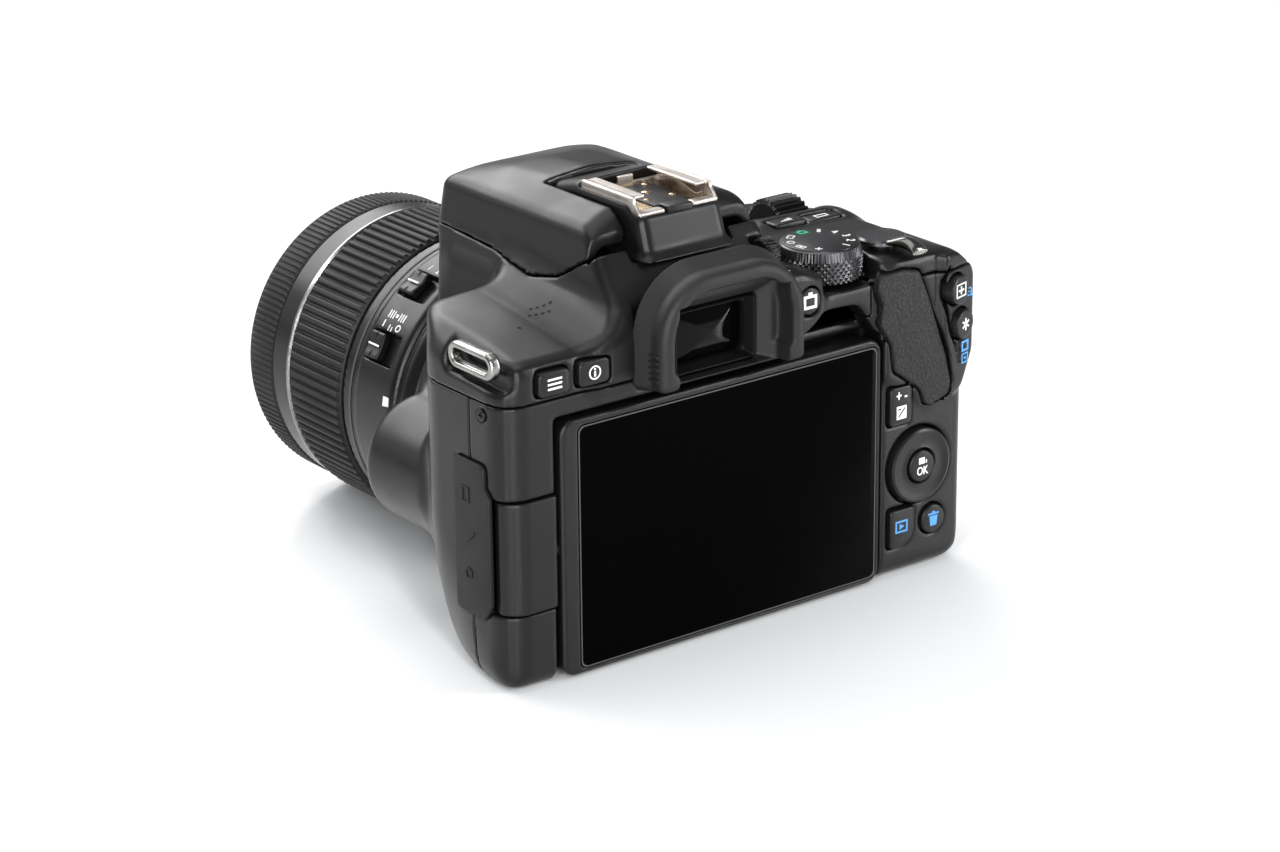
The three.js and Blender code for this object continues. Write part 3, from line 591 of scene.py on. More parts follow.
def face(points):
    return lambda x, y, z: inside_outline(points, x, z)


def side(points):
    return lambda x, y, z: inside_outline(points, y, z)


BLOCK_PLAN = plan(outline([
    (LEFT, BACK, 6.5), (LEFT, 33, 9), (52.5, CHEST, 6), (RIGHT, CHEST), (RIGHT, BACK, 5)], 10))
BLOCK_FACE = face(outline([
    (LEFT, BASE, 5.5), (LEFT, 69, 4.5), (56, 75.3, 4), (38, 77.3), (AX, 77.3), (-16, 77.2), (-52, 75.4, 4),
    (RIGHT, 68.4, 5), (RIGHT, BASE, 7)], 10))
GRIP_PLAN = plan(outline([
    (RIGHT, 26), (RIGHT, 4.5, 8), (-52, -3.5, 7), (-36, -3.5, 6), (-31, 10, 5), (-29, 26)], 10))
GRIP_SIDE = side(outline([(30, BASE), (-3.5, BASE, 3), (-3.5, 62, 5), (3, 68.8, 5), (14, 73, 4), (30, 76)], 10))
HUMP_FACE = face(outline([
    (AX - 26.5, 66), (AX - 22.2, 78), (AX - 19.8, 90.6, 3.5), (AX - 10, 93.8, 14), (AX, 95.2, 14),
    (AX + 10, 93.8, 14), (AX + 19.8, 90.6, 3.5), (AX + 22.2, 78), (AX + 26.5, 66)], 10))
HUMP_SIDE = side(outline([
    (3, 58), (-2.4, 71), (-7, 79, 3), (-7, 91.4, 3.5), (4, 94, 10), (16, 95.3, 10), (40.5, 94.6, 4), (46.8, 87, 4),
    (54, 79, 3), (56.4, 76, 3), (56.8, 58)], 10))
THUMB = face(outline([
    (-34, 50.5, 3), (-36.5, 73.6, 4), (-55, 73.6, 5), (-61.6, 68.4, 4), (-61.6, 50, 5), (-57.5, 42.5, 5),
    (-49, 40.5, 4)], 10))


def shoulder(x, y, z):
    """The left shoulder slopes down to the back; it fades out under the hump."""
    height = 72.3 + 0.14 * (52 - y) + 0.1 * np.maximum(42 - x, 0)
    return (z - height) * 0.95


def right_deck(x, y, z):
    """The grip side's deck, lower towards the front and the outside."""
    height = 75.2 + 0.03 * (x + 28) - 0.10 * np.maximum(26 - y, 0) + 0.6 * np.maximum(x + 12, 0)
    return z - height


def mount_form(x, y, z):
    """Around the lens mount: the boss, the swelling that holds the release, the skirt below and the neck above."""
    boss = round_bar(x, z, y, AX, AZ, 34.5, -1, 26, 2.0)
    boss = smin(boss, round_bar(x, z, y, 44.0, 35.5, 13.6, 2.5, 26, 3.5), 3.0)
    skirt = smax(slab(y, 0.6, 26), smax(slab(z, BASE, 20), np.abs(x - AX) - 28 - z * 0.1, 1.5), 1.5)
    neck = ball_box(x, y, z, (AX - 22, 0.9, 50), (AX + 22, 26.2, 76), 2)
    return smin(smin(boss, neck, 3.0), skirt, 2.5)


def thumb_form(x, y, z):
    """The swelling behind the grip that carries the thumb rest."""
    crest = 58.8 + np.clip(-49.6 - x, 0, 2.2)
    thumb = smax(THUMB(x, y, z), np.maximum(y - crest, 40 - y), 1.2)
    return smax(thumb, z - 74.4, 2.0)


def body_form(x, y, z):
    """The whole closed body, before anything is cut into it."""
    block = smax(BLOCK_PLAN(x, y, z), BLOCK_FACE(x, y, z), 2.6)
    block = smax(block, shoulder(x, y, z), 3.0)
    block = smax(block, right_deck(x, y, z), 2.0)
    # The front left edge is cut back, and more so towards the base.
    block = smax(block, 0.859 * x - 0.413 * y - 0.302 * z - 32.1, 5.0)
    grip = smax(smax(GRIP_PLAN(x, y, z), GRIP_SIDE(x, y, z), 7.0), BASE - z, 1.5)
    grip = smax(grip, BLOCK_FACE(x, y, z), 3.0)
    hump = smax(HUMP_FACE(x, y, z), HUMP_SIDE(x, y, z), 2.4)
    form = smin(block, grip, 5.0)
    form = smin(form, mount_form(x, y, z), 3.0)
    form = smin(form, hump, 7.0)
    form = smin(form, thumb_form(x, y, z), 2.0)
    facet = (x + 51.8) * -math.sin(CORNER_LEAN) + (y - 60.6) * math.cos(CORNER_LEAN)
    form = smax(form, facet, 0.8)
    lower_back_edge = (y - 58) * 0.7 + (BASE + 1.6 - z) * 0.7
    return smax(smax(form, lower_back_edge, 2.5), BASE - z, 1.2)


def top_region(x, y, z):
    """Negative where the top cover is: above its seam, which steps up behind the grip."""
    above_seam = np.maximum(SEAM_Z - z, np.minimum(y - SEAM_Y, SEAM_STEP - x))
    return np.minimum(SEAM_THUMB - z, above_seam)


FLASH_SIDE = side(outline([
    (-20, 81.4), (2.4, 81, 6), (16, 80.2, 12), (29, 78.4, 9), (36.5, 79.8, 5), (45.0, 85, 1), (45.0, 120),
    (-20, 120)], 8))


def shoe_cutout(x, y):
    """The opening in the flash cap that the shoe's pedestal comes up through, flared towards the back."""
    return np.maximum(np.abs(x - AX) - 11.5, 18.2 - y)


def flash_region(x, y, z):
    return np.maximum(FLASH_SIDE(x, y, z), -shoe_cutout(x, y))


def arch(grow):
    """The eyecup's outline in x and z, grown outwards."""
    half, foot, crown, bend = 18.4 + grow, 61.5 - grow, 84.2 + grow, 12.5 + grow
    return outline([(AX - half, foot, 1.6), (AX - half, crown, bend), (AX + half, crown, bend),
                    (AX + half, foot, 1.6)], 12)


def terminal_outline(g=0.0):
    return outline([
        (41.5 - g, 18 - g, 1), (51 + g, 18 - g), (53.3 + g, 21.4 - g, 0.6), (53.3 + g, 44 + g), (51.6 + g, 46),
        (51.6 + g, 50.5 + g, 1.5), (41.5 - g, 50.5 + g, 1)])


def thumb_outline(g=0.0):
    return outline([
        (-38.6 + g, 50.2, 2), (-37.6 + g, 56.3, 2), (-34.6 + g, 61, 2), (-35.2 + g, 65.3, 2), (-33.7 + g, 69, 2),
        (-34.2 + g, 71.8 + g, 2), (-40.5, 72.2 + g, 2), (-45 - g, 71.2 + g, 2), (-47.6 - g, 65, 4),
        (-52.6 - g, 51.5, 3), (-54.2 - g, 45, 3), (-53.6, 42.2 - g, 1.5), (-47.4, 40.4 - g, 2),
        (-45.6, 45 - g, 4), (-40.6, 48.8 - g, 3)])


def play_outline(g=0.0):
    return outline([
        (-38.3 + g, 10.1 - g, 0.8), (-38.3 + g, 18.7 + g, 0.8), (-45.1 - g, 18.7 + g, 0.8),
        (-45.1 - g, 10.1 - g, 4)])


# Buttons of the back face and of the deck: name, plane, outer level, outline(growth).
BUTTONS = [
    ("menu_button", "y", 59.0, growing_rectangle(45.1, 52.6, 64.6, 69.6, 1.2)),
    ("info_button", "y", 59.0, growing_rectangle(35.4, 42.9, 64.7, 69.8, 1.2)),
    ("live_view_button", "y", 58.9, growing_circle(-15.6, 70.4, 2.9)),
    ("exposure_button", "y", 58.9, growing_rectangle(-43.8, -37.8, 37.8, 46.4, 1)),
    ("set_button", "y", 59.4, growing_circle(PAD_X, PAD_Z, 3.45)),
    ("play_button", "y", 58.9, play_outline),
    ("erase_button", "y", 58.6, growing_circle(-50.6, 14.3, 3.2)),
    ("iso_button", "z", 75.9, growing_rectangle(-40.6, -32.2, 23.7, 27.9, 0.8)),
    ("display_button", "z", 75.0, growing_rectangle(-50.4, -42, 23.7, 27.9, 0.8)),
]
BUTTON_DEPTH, BORE_GAP = 3.4, 0.35
# The two on the leaning corner: name, x, y, z.
CORNER_BUTTONS = [("focus_point_button", -54.7, 59.0, 65.2), ("exposure_lock_button", -56.6, 58.5, 57.2)]


def corner_axis(x, y, z, x0, y0, z0):
    """Distance from, and height along, the leaning axis of a corner button."""
    along = (x - x0) * -math.sin(CORNER_LEAN) + (y - y0) * math.cos(CORNER_LEAN)
    across = (x - x0) * math.cos(CORNER_LEAN) + (y - y0) * math.sin(CORNER_LEAN)
    return np.sqrt(across ** 2 + (z - z0) ** 2), along


def carve_pockets(body):
    """Recesses that keep a wall behind them, cut before the form is made hollow."""
    def screen_bed(x, y, z):
        return ball_box(x, y, z, (SCREEN_X0 - 0.7, SCREEN_Y0 - 0.5, -9),
                        (SCREEN_X1 + 0.9, 75, SCREEN_Z1 + 0.9), 0.8)

    def arm_bed(x, y, z):
        corner = np.maximum(SCREEN_Y0 - GAP - y, 46 - x)
        return np.maximum(slab(z, ARM_Z0 - GAP, ARM_Z1 + GAP),
                          np.minimum(disc(x, y, SWING_X, SWING_Y, SWING_R + GAP), corner))

    def eyecup_bed(x, y, z):
        return smax(inside_outline(arch(0.4), x, z), 55.5 - y, 0.4)

    def finger_notch(x, y, z):
        shape = outline([(-11, 57), (-13.5, 62.5, 2.5), (-19.5, 67, 3.5), (-29.6, 66.6, 4), (-35.8, 57)])
        return smax(inside_outline(shape, x, z), 53.4 - y, 0.8)

    def left_cover_bed(x, y, z):
        return np.maximum(inside_outline(terminal_outline(0.25), y, z), LEFT - 0.95 - x)

    def left_lug_bed(x, y, z):
        shape = outline([(38, 67.2, 2), (56.8, 66.2, 2), (57.6, 71.5, 3), (49, 79, 2), (38, 79, 2)])
        return smax(inside_outline(shape, y, z), 57.6 - x, 0.8)

    def right_lug_bed(x, y, z):
        return smax(inside_outline(rectangle(25.4, 39.6, 62.8, 72, 2), y, z), x - RIGHT - 1.8, 0.6)

    def right_cover_bed(x, y, z):
        return np.maximum(inside_outline(rectangle(23.8, 40.2, 15.8, 38.2, 1.5), y, z), x - RIGHT - 1.2)

    def thumb_bed(x, y, z):
        return np.maximum(inside_outline(thumb_outline(0.3), x, z), 57.4 - y)

    for low, high, shape, blend in (
            ((SCREEN_X0 - 2, 50, -2), (SCREEN_X1 + 3, 62, SCREEN_Z1 + 3), screen_bed, 0.8),
            ((46, 46, ARM_Z0 - 2), (64, 62, ARM_Z1 + 2), arm_bed, 0.3),
            ((AX - 22, 54, 58), (AX + 22, 62, 88), eyecup_bed, 1.2),
            ((-38, 54, 55), (-9, 62, 68), finger_notch, 1.0),
            ((56, 38, 15), (63, 56, 53), left_cover_bed, 0.25),
            ((56, 36, 64), (64, 60, 80), left_lug_bed, 1.4),
            ((-64, 24, 61), (-56, 41, 73), right_lug_bed, 1.0),
            ((-64, 22, 14), (-57, 42, 40), right_cover_bed, 0.25),
            ((-60, 55.5, 38), (-32, 62, 75), thumb_bed, 0.3)):
        body.cut(low, high, shape, blend)


def carve_controls(body):
    """Wells and bores for the dials and buttons."""
    dial_floor = DIAL_Z0 - 1.9

    def pad_well(x, y, z):
        return np.maximum(disc(x, z, PAD_X, PAD_Z, PAD_R + BORE_GAP), 54.4 - y)

    def dial_well(x, y, z):
        return np.maximum(disc(x, y, DIAL_X, DIAL_Y, DIAL_R + 0.55), dial_floor - z)

    def dial_scoop(x, y, z):
        return ball_box(x, y, z, (DIAL_X - 7.4, 50, dial_floor), (DIAL_X + 7.4, 75, 90), 1.2)

    def wheel_slot(x, y, z):
        return np.maximum(disc(y, z, WHEEL_Y, WHEEL_Z, WHEEL_R + 0.7), np.abs(x - WHEEL_X) - 4.9)

    def shutter_well(x, y, z):
        return np.maximum(disc(x, y, SHUTTER_X, SHUTTER_Y, SHUTTER_R + BORE_GAP), 62 - z)

    def release_bore(x, y, z):
        return np.maximum(disc(x, z, RELEASE_X, RELEASE_Z, RELEASE_R + BORE_GAP), y - RELEASE_Y1 - 3)

    def diopter_slot(x, y, z):
        return np.maximum(disc(y, z, DIOPTER_Y, DIOPTER_Z, 3.8), np.abs(x + 14) - 7.2)

    for low, high, shape, blend in (
            ((PAD_X - 11, 53, PAD_Z - 11), (PAD_X + 11, 62, PAD_Z + 11), pad_well, 0.9),
            ((DIAL_X - 13, DIAL_Y - 13, 69), (DIAL_X + 13, DIAL_Y + 13, 84), dial_well, 0.8),
            ((DIAL_X - 11, 50, 69), (DIAL_X + 11, 62, 80), dial_scoop, 1.6),
            ((-54, 6, 60), (-36, 26, 80), wheel_slot, 1.0),
            ((-54, -6, 60), (-39, 10, 78), shutter_well, 0.8),
            ((RELEASE_X - 7, -2, RELEASE_Z - 7), (RELEASE_X + 7, 12, RELEASE_Z + 7), release_bore, 0.6),
            ((AX - 32, 46, 74), (AX - 16.4, 60, 87), diopter_slot, 1.2)):
        body.cut(low, high, shape, blend)
    for _, plane, top, shape in BUTTONS:
        carve_button_well(body, plane, top - BUTTON_DEPTH - 0.9, top, shape)
    for _, x0, y0, z0 in CORNER_BUTTONS:
        def well(x, y, z):
            across, along = corner_axis(x, y, z, x0, y0, z0)
            return np.maximum(across - 3.55, -5.2 - along)
        body.cut((-64, 50, z0 - 5), (-49, 64, z0 + 5), well, 0.5)


def carve_button_well(body, plane, floor, top, shape):
    """A well down to floor for one straight button, a gap wider than the button."""
    points = shape(GAP)
    corners = shape(1.5)
    a0, a1 = min(p.x for p in corners), max(p.x for p in corners)
    b0, b1 = min(p.y for p in corners), max(p.y for p in corners)
    at = PLANES[plane]

    def well(x, y, z):
        u, v, h = (x, z, y) if plane == "y" else (x, y, z)
        return np.maximum(inside_outline(points, u, v), floor - h)
    body.cut(at(a0, b0, top - 5), at(a1, b1, top + 3), well, 0.5)


def carve_seams(body):
    """A groove around the corner facet, and the hole of the side screw."""
    bends = [(-52.4, 70.6), (-51.2, 68.1), (-50.9, 65), (-52.6, 58.1), (-56.4, 49.5), (-59.5, 46.5)]

    def groove(x, y, z):
        best = 1e9
        for (a, b), (c, d) in zip(bends, bends[1:]):
            t = np.clip(((x - a) * (c - a) + (z - b) * (d - b)) / ((c - a) ** 2 + (d - b) ** 2), 0, 1)
            best = np.minimum(best, (x - a - t * (c - a)) ** 2 + (z - b - t * (d - b)) ** 2)
        return np.maximum(np.sqrt(best) - 0.38, 57.6 - y + 0.5 * np.maximum(-53 - x, 0))

    def screw_hole(x, y, z):
        return np.maximum(disc(y, z, *SIDE_SCREW, 1.5), 60.2 - x)
    body.cut((-62, 53, 44), (-49, 61, 73), groove, 0.5)
    body.cut((58, 48, 58), (63, 53, 64), screw_hole, 0.3)


def flash_bay(x, y, z):
    """The room under the flash cap, with a deeper trough for the lamp."""
    room = smax(flash_region(x, y, z) - GAP, 71.0 - z, 1.0)
    trough = ball_box(x, y, z, (AX - 17, 3.6, 70), (AX + 17, 14, 90), 1)
    return np.minimum(room, trough).astype(np.float32)


def lower_openings(x, y, z):
    """The lens throat, the finder window, the battery door and the bed of the base plate."""
    throat = disc(x, z, AX, AZ, 27.3) + np.maximum(y - 30, 0) * 40
    window = ball_box(x, y, z, (AX - 10.7, 40, 61.8), (AX + 10.7, 75, 75.6), 1.0)
    battery = np.maximum(inside_outline(door_outline(GAP), x, y), z - BASE - 6)
    base = np.maximum(inside_outline(base_outline(0.25), x, y), z - BASE - 2.05)
    return np.minimum(np.minimum(np.minimum(throat, window), battery), base)


def upper_openings(x, y, z):
    """The bed of the accessory shoe and the ledge behind the flash cap."""
    shoe_bed = ball_box(x, y, z, (AX - 12.8, 19.6, 83.7), (AX + 12.8, 75, 120), 0.3)
    ledge = np.maximum(43.6 - y, 84.1 + 1.1 * np.maximum(y - 45.4, 0) - z)
    return np.minimum(shoe_bed, ledge)


def make_covers():
    """The outer form, its pockets, a wall inwards from them, and the openings; then one mesh for each cover."""
    body = Field((-63.4, -8.2, BASE - 1), (62.6, 62.4, 96.4), BODY_STEP)
    body.values = body_form(*body.coordinates()).astype(np.float32)
    carve_pockets(body)
    carve_controls(body)
    x, y, z = body.coordinates()
    bay = flash_bay(x, y, z)
    closed = body.values.copy()
    roofed = np.maximum(closed, -bay)
    carve_seams(body)
    shell = np.maximum(np.maximum(body.values, -bay), -(roofed + WALL))
    openings = lower_openings(x, y, z)
    top_zone = top_region(x, y, z)
    grip = grip_zone(x, y, z)
    skin_bed = np.maximum(grip - 0.25, -(closed + 1.3))
    top = np.maximum(shell, top_zone + HALF_SEAM)
    top = np.maximum(top, -np.minimum(openings, upper_openings(x, y, z)))
    lower = np.maximum(np.maximum(shell, -top_zone + HALF_SEAM), -openings)
    rear = np.maximum(lower, SEAM_Y + HALF_SEAM - y)
    front = np.maximum(np.maximum(lower, y - SEAM_Y + HALF_SEAM), -skin_bed)
    skin = np.maximum(smax(closed, grip, 0.5), -(closed + 1.1))
    skin = np.maximum(skin, -disc(x, y, SHUTTER_X, SHUTTER_Y, SHUTTER_R + BORE_GAP))
    cap = np.maximum(np.maximum(closed, flash_region(x, y, z)), -(closed + 1.8))
    for name, values, rider, finish, node in (
            ("top_cover_shell", top, "camera_body", "body_plastic", "top_cover"),
            ("rear_cover_shell", rear, "camera_body", "body_plastic", "rear_cover"),
            ("front_cover_shell", front, "camera_body", "body_plastic", "front_cover"),
            ("grip_skin", skin, "camera_body", "grip_rubber", "grip_rubber"),
            ("flash_cap_shell", cap, "flash", "body_plastic", "flash_cap")):
        from_field(name, values, body.low, body.step, rider, FINISH[finish], [node])


def grip_zone(x, y, z):
    front = ball_box(x, y, z, (-70, -10, BASE + 5), (-33, 18, 61), 0)
    flank = ball_box(x, y, z, (-70, 10, BASE + 5), (-56, 22.5, 61), 0)
    return np.minimum(front, flank)


def base_outline(g=0.0):
    return outline([
        (51 + g, 45.4 + g, 4), (51 + g, 26 - g, 3), (36 + g, 25 - g, 2), (33 + g, 4 - g, 5), (-14 - g, 4 - g, 5),
        (-17 - g, 25 - g, 2), (-29 - g, 27 - g, 2), (-29 - g, 45.4 + g, 2)])


door_outline = growing_rectangle(-53.4, -32, 2, 37, 2.7)
make_covers()


# ---- screen ----

def rounded_box(name, low, high, r, body, material):
    """A box with every edge rounded to radius r."""
    work = bmesh.new()
    bmesh.ops.create_cube(work, size=1)
    size = Vector(high) - Vector(low)
    for v in work.verts:
        v.co = Vector(low) + Vector(((v.co.x + 0.5) * size.x, (v.co.y + 0.5) * size.y, (v.co.z + 0.5) * size.z))
        v.co = (v.co - DATUM) * MM
    bmesh.ops.bevel(work, geom=work.edges[:], offset=r * MM, segments=4, affect="EDGES", profile=0.5)
    mesh = bpy.data.meshes.new(name)
    work.to_mesh(mesh)
    work.free()
    return place(name, mesh, body, material)


def glass_outline(g=0.0):
    return rectangle(-34.1 - g, 43.1 + g, 5.2 - g, 56.7 + g, 1.5)


def make_screen():
    def bezel(x, y, z):
        block = smax(inside_outline(rectangle(SCREEN_X0, SCREEN_X1, SCREEN_Z0, SCREEN_Z1, 3.2), x, z),
                     slab(y, SCREEN_Y0, SCREEN_Y1 + 0.12), 0.9)
        glass_bed = np.maximum(inside_outline(rectangle(-34.25, 43.25, 5.05, 56.85, 1.6), x, z), 57.3 - y)
        panel_bed = np.maximum(inside_outline(rectangle(-32.5, 41, 7, 55, 1), x, z), 53.9 - y)
        knuckle = np.maximum(disc(y, z, SWING_Y, TILT_Z, 1.9), 45.2 - x)
        hand = ball_box(x, y, z, (-37, 50, 28), (SCREEN_X0 + 1.1, 54.4, 42), 0.6)
        return smax(smax(block, -np.minimum(glass_bed, panel_bed), 0.35), -np.minimum(knuckle, hand), 0.3)
    carved("screen_bezel", (SCREEN_X0 - 1, SCREEN_Y0, SCREEN_Z0), (SCREEN_X1, SCREEN_Y1 + 0.2, SCREEN_Z1),
           grid_step(0.32), bezel, "screen", FINISH["body_plastic"], ["screen_frame"])
    put("screen_cover_glass", *soft_prism(glass_outline, 57.4, SCREEN_Y1 + 0.02, 0.18), "screen",
        FINISH["screen_glass"], ["screen_glass"])
    # A thin grey band of painted highlight along the cover glass's outer edge.
    ring_strip("screen_rim_painted_highlight", glass_outline(), glass_outline(-0.28), SCREEN_Y1 + 0.06, "screen",
               EDGE_HIGHLIGHT_GREY)

    def arm(x, y, z):
        barrel = disc(x, y, SWING_X, SWING_Y, SWING_R)
        lug = np.maximum(np.maximum(x - SWING_X, 47.9 - x), slab(y, SCREEN_Y0 + 0.25, 58.35))
        section = outline([(47.9, 52.3), (60.3, 52.3), (60.3, 58.35, 5.4), (47.9, 58.35, 1.2)], 8)
        corner = inside_outline(section, x, y)
        body = smax(np.maximum(np.minimum(barrel, lug), corner), slab(z, ARM_Z0 + 0.05, ARM_Z1 - 0.05), 0.5)
        stub = np.maximum(disc(x, y, SWING_X, SWING_Y, 1.5), slab(z, ARM_Z0 - 2.4, ARM_Z1 + 2.4))
        hole = np.maximum(disc(y, z, SWING_Y, TILT_Z, 2.0), x - 52.4)
        return np.maximum(np.minimum(body, stub), -hole)
    carved("hinge_arm", (47.5, 49.5, ARM_Z0 - 2.6), (61, 61, ARM_Z1 + 2.6), grid_step(0.28), arm,
           "screen_arm", FINISH["body_plastic"], ["screen_hinge_arm"])


def ring_strip(name, outer, inner, level, body, material, depth=0.05):
    """A thin flat band in the plane of the back, between two outlines of equal length."""
    count = len(outer)
    vertices = [(p.x, y, p.y) for y in (level, level - depth) for shape in (outer, inner) for p in shape]
    faces = []
    for k in range(count):
        n = (k + 1) % count
        faces.append((k, n, count + n, count + k))
        faces.append((2 * count + k, 3 * count + k, 3 * count + n, 2 * count + n))
        faces.append((k, 2 * count + k, 2 * count + n, n))
        faces.append((count + k, count + n, 3 * count + n, 3 * count + k))
    return put(name, vertices, faces, body, material)


# ---- finder, eyecup and shoe ----

def make_finder():
    make_eyecup()

    def window_frame(x, y, z):
        block = ball_box(x, y, z, (AX - 10.35, 50.6, 62.0), (AX + 10.35, 60.0, 75.35), 1.0)
        mouth = ball_box(x, y, z, (AX - 9, 40, 63.2), (AX + 9, 70, 74.2), 1.6)
        flare = np.clip((y - 57.2) / 2.8, 0, 1) * 0.9
        wide = np.maximum(np.abs(x - AX) - 9 - flare, np.maximum(z - 74.2 - flare, 63.2 - flare - z))
        return smax(block, -np.minimum(mouth, np.maximum(wide, 57.2 - y)), 0.3)
    carved("finder_window_frame", (AX - 10.4, 50.6, 62), (AX + 10.4, 60, 75.4), grid_step(0.3),
           window_frame, "camera_body", FINISH["inner_plastic"], ["viewfinder_frame"])
    half, tall, rings = 8.6, 5.1, 8
    bulge = []
    for k in range(rings + 1):
        share = max(k / rings, 0.0015)
        bulge.append([(AX + p.x * share, 56.3 + 1.1 * (1 - (k / rings) ** 2), 68.7 + p.y * share)
                      for p in rectangle(-half, half, -tall, tall, 1.6)])
    back = [(x, 54.4, z) for x, _, z in bulge[-1]]
    put("eyepiece_lens_form", *loft(bulge + [back]), "camera_body", EYEPIECE_GLASS, ["eyepiece_lens"])


def make_eyecup():
    def eyecup(x, y, z):
        flare = 1.9 * np.clip((62.5 - y) / 4.0, 0, 1) * (y > 58.35) * np.clip((z - 59.5) / 3, 0, 1)
        rim = smax(inside_outline(arch(0), x, z) - flare, slab(y, 55.8, 66.3), 2.4)
        hollow = smax(inside_outline(arch(-3.4), x, z), 60.9 - y, 0.8)
        rim = smax(rim, -hollow, 1.2)
        opening = np.clip((y - 58.6) / 3.0, 0, 1)
        funnel = np.maximum(np.abs(x - AX) - 10.4 - 3.6 * opening,
                            np.maximum(z - 75.4 - 3.2 * opening, 62.4 - z - opening))
        funnel = np.maximum(funnel, 58.6 - y)
        window = ball_box(x, y, z, (AX - 10.7, 40, 61.5), (AX + 10.7, 80, 75.7), 1.2)
        below = np.maximum(smax(np.abs(x - AX) - 13.2, z - 63.2, 1.0), 61.5 - y)
        return smax(rim, -np.minimum(np.minimum(funnel, window), below), 0.5)
    carved("eyecup_rubber_form", (AX - 21, 55.4, 60.4), (AX + 21, 67, 87), grid_step(0.34), eyecup,
           "eyecup", FINISH["eyecup_rubber"], ["eyecup"])
    for k in range(5):
        z0 = 64.0 + 1.25 * k
        rounded_box(f"eyecup_rib_{k}", (AX + 18.05, 60.2, z0), (AX + 18.75, 64.8, z0 + 0.55), 0.22, "eyecup",
                    FINISH["eyecup_rubber"])


def make_shoe():
    def pedestal(x, y, z):
        profile = inside_outline(outline([
            (18.0, 80), (18.0, 93.0, 2), (27, 95.3, 6), (44.6, 95.3, 2.5), (48.6, 91.8, 2), (50.6, 86, 4),
            (53, 83.4), (53, 80)], 8), y, z)
        half = 10.55 + 0.03 * np.maximum(95 - z, 0) + 0.25 * np.clip(86 - z, 0, 3) ** 2
        form = smax(profile, np.abs(x - AX) - half, 2.6)
        tray = ball_box(x, y, z, (AX - SHOE_HALF - 0.05, SHOE_Y0 - 0.5, SHOE_FLOOR - 0.55),
                        (AX + SHOE_HALF + 0.05, 70, 110), 0.2)
        return smax(smax(form, 83.85 - z, 0.2), -tray, 0.3)
    carved("shoe_pedestal", (AX - 15.5, 17, 83.6), (AX + 15.5, 54, 96), grid_step(0.32),
           pedestal, "camera_body", FINISH["body_plastic"], ["hot_shoe_base"])
    carved("shoe_rails", (AX - 10.2, SHOE_Y0 - 0.2, SHOE_FLOOR - 1.2),
           (AX + 10.2, SHOE_Y1 + 2.3, SHOE_TOP + 0.2), grid_step(0.2), shoe_rails, "camera_body",
           FINISH["nickel"], ["hot_shoe_rails"])
    shoe_box("floor_plate", 9.3, SHOE_Y0 + 0.5, SHOE_Y1 - 0.3, -0.6, 0, 0.12, SHOE_FLOOR_METAL)
    shoe_box("contact_block", 4.6, SHOE_Y0 + 3.0, SHOE_Y1 - 0.2, -0.1, 0.3, 0.15, FINISH["control_plastic"])
    shoe_box("tongue", 3.1, SHOE_Y1 - 1.0, SHOE_Y1 + 2.6, -1.2, 0.45, 0.35, FINISH["control_plastic"])
    for k, (dx, dy) in enumerate([(0, 0), (-3.2, -4.6), (3.2, -4.6), (-3.2, 4.4), (3.2, 4.4)]):
        r = 1.15 if k == 0 else 0.8
        profile = [(r, 0), (r, 0.12), (r * 0.8, 0.22), (0.02, 0.26)]
        put(f"shoe_contact_{k}", *solid_of_revolution(
            profile, 20, (AX + dx, 37.3 + dy, SHOE_FLOOR + 0.28), "z"), "camera_body", SHOE_FLOOR_METAL)
    for name, sign in (("right", -1), ("left", 1)):
        make_shoe_leaf(name, AX + sign * 7.2, AX + sign * 9.0)
    shoe_box("stop_tab", 1.9, SHOE_Y0 + 1.2, SHOE_Y0 + 1.8, -0.2, 2.3, 0.2, FINISH["nickel"])


def shoe_rails(x, y, z):
    """Two folded lips, the apron behind them and the stop at the front, mirrored about the shoe's middle."""
    side = np.abs(x - AX)
    wall = ball_box(side, y, z, (SHOE_HALF - 0.75, SHOE_Y0, SHOE_FLOOR - 0.5),
                    (SHOE_HALF, SHOE_Y1, SHOE_TOP), 0.25)
    lip = ball_box(side, y, z, (SHOE_LIP, SHOE_Y0 + 0.4, SHOE_TOP - 0.7),
                   (SHOE_HALF, SHOE_Y1 - 1, SHOE_TOP), 0.25)
    apron = ball_box(side, y, z, (3.5, SHOE_Y1 - 0.4, SHOE_FLOOR - 0.9),
                     (SHOE_HALF - 0.2, SHOE_Y1 + 2.0, SHOE_FLOOR + 0.05), 0.35)
    stop = ball_box(x - AX, y, z, (-SHOE_HALF, SHOE_Y0, SHOE_FLOOR - 0.5),
                    (SHOE_HALF, SHOE_Y0 + 0.7, SHOE_FLOOR + 0.4), 0.2)
    cheek = ball_box(side, y, z, (SHOE_HALF - 0.75, SHOE_Y1 - 2, SHOE_FLOOR - 0.6),
                     (SHOE_HALF, SHOE_Y1 + 2.0, SHOE_TOP - 0.1), 0.25)
    slope = SHOE_FLOOR + 2.7 - 1.15 * (y - SHOE_Y1 + 0.6)
    form = smin(wall, lip, 0.4)
    for part in (apron, stop, smax(cheek, z - slope, 0.5)):
        form = smin(form, part, 0.3)
    return form


def shoe_box(name, half, y0, y1, low, high, r, material):
    """A box in the middle of the shoe, from low to high above its floor."""
    rounded_box(f"shoe_{name}", (AX - half, y0, SHOE_FLOOR + low), (AX + half, y1, SHOE_FLOOR + high), r,
                "camera_body", material)


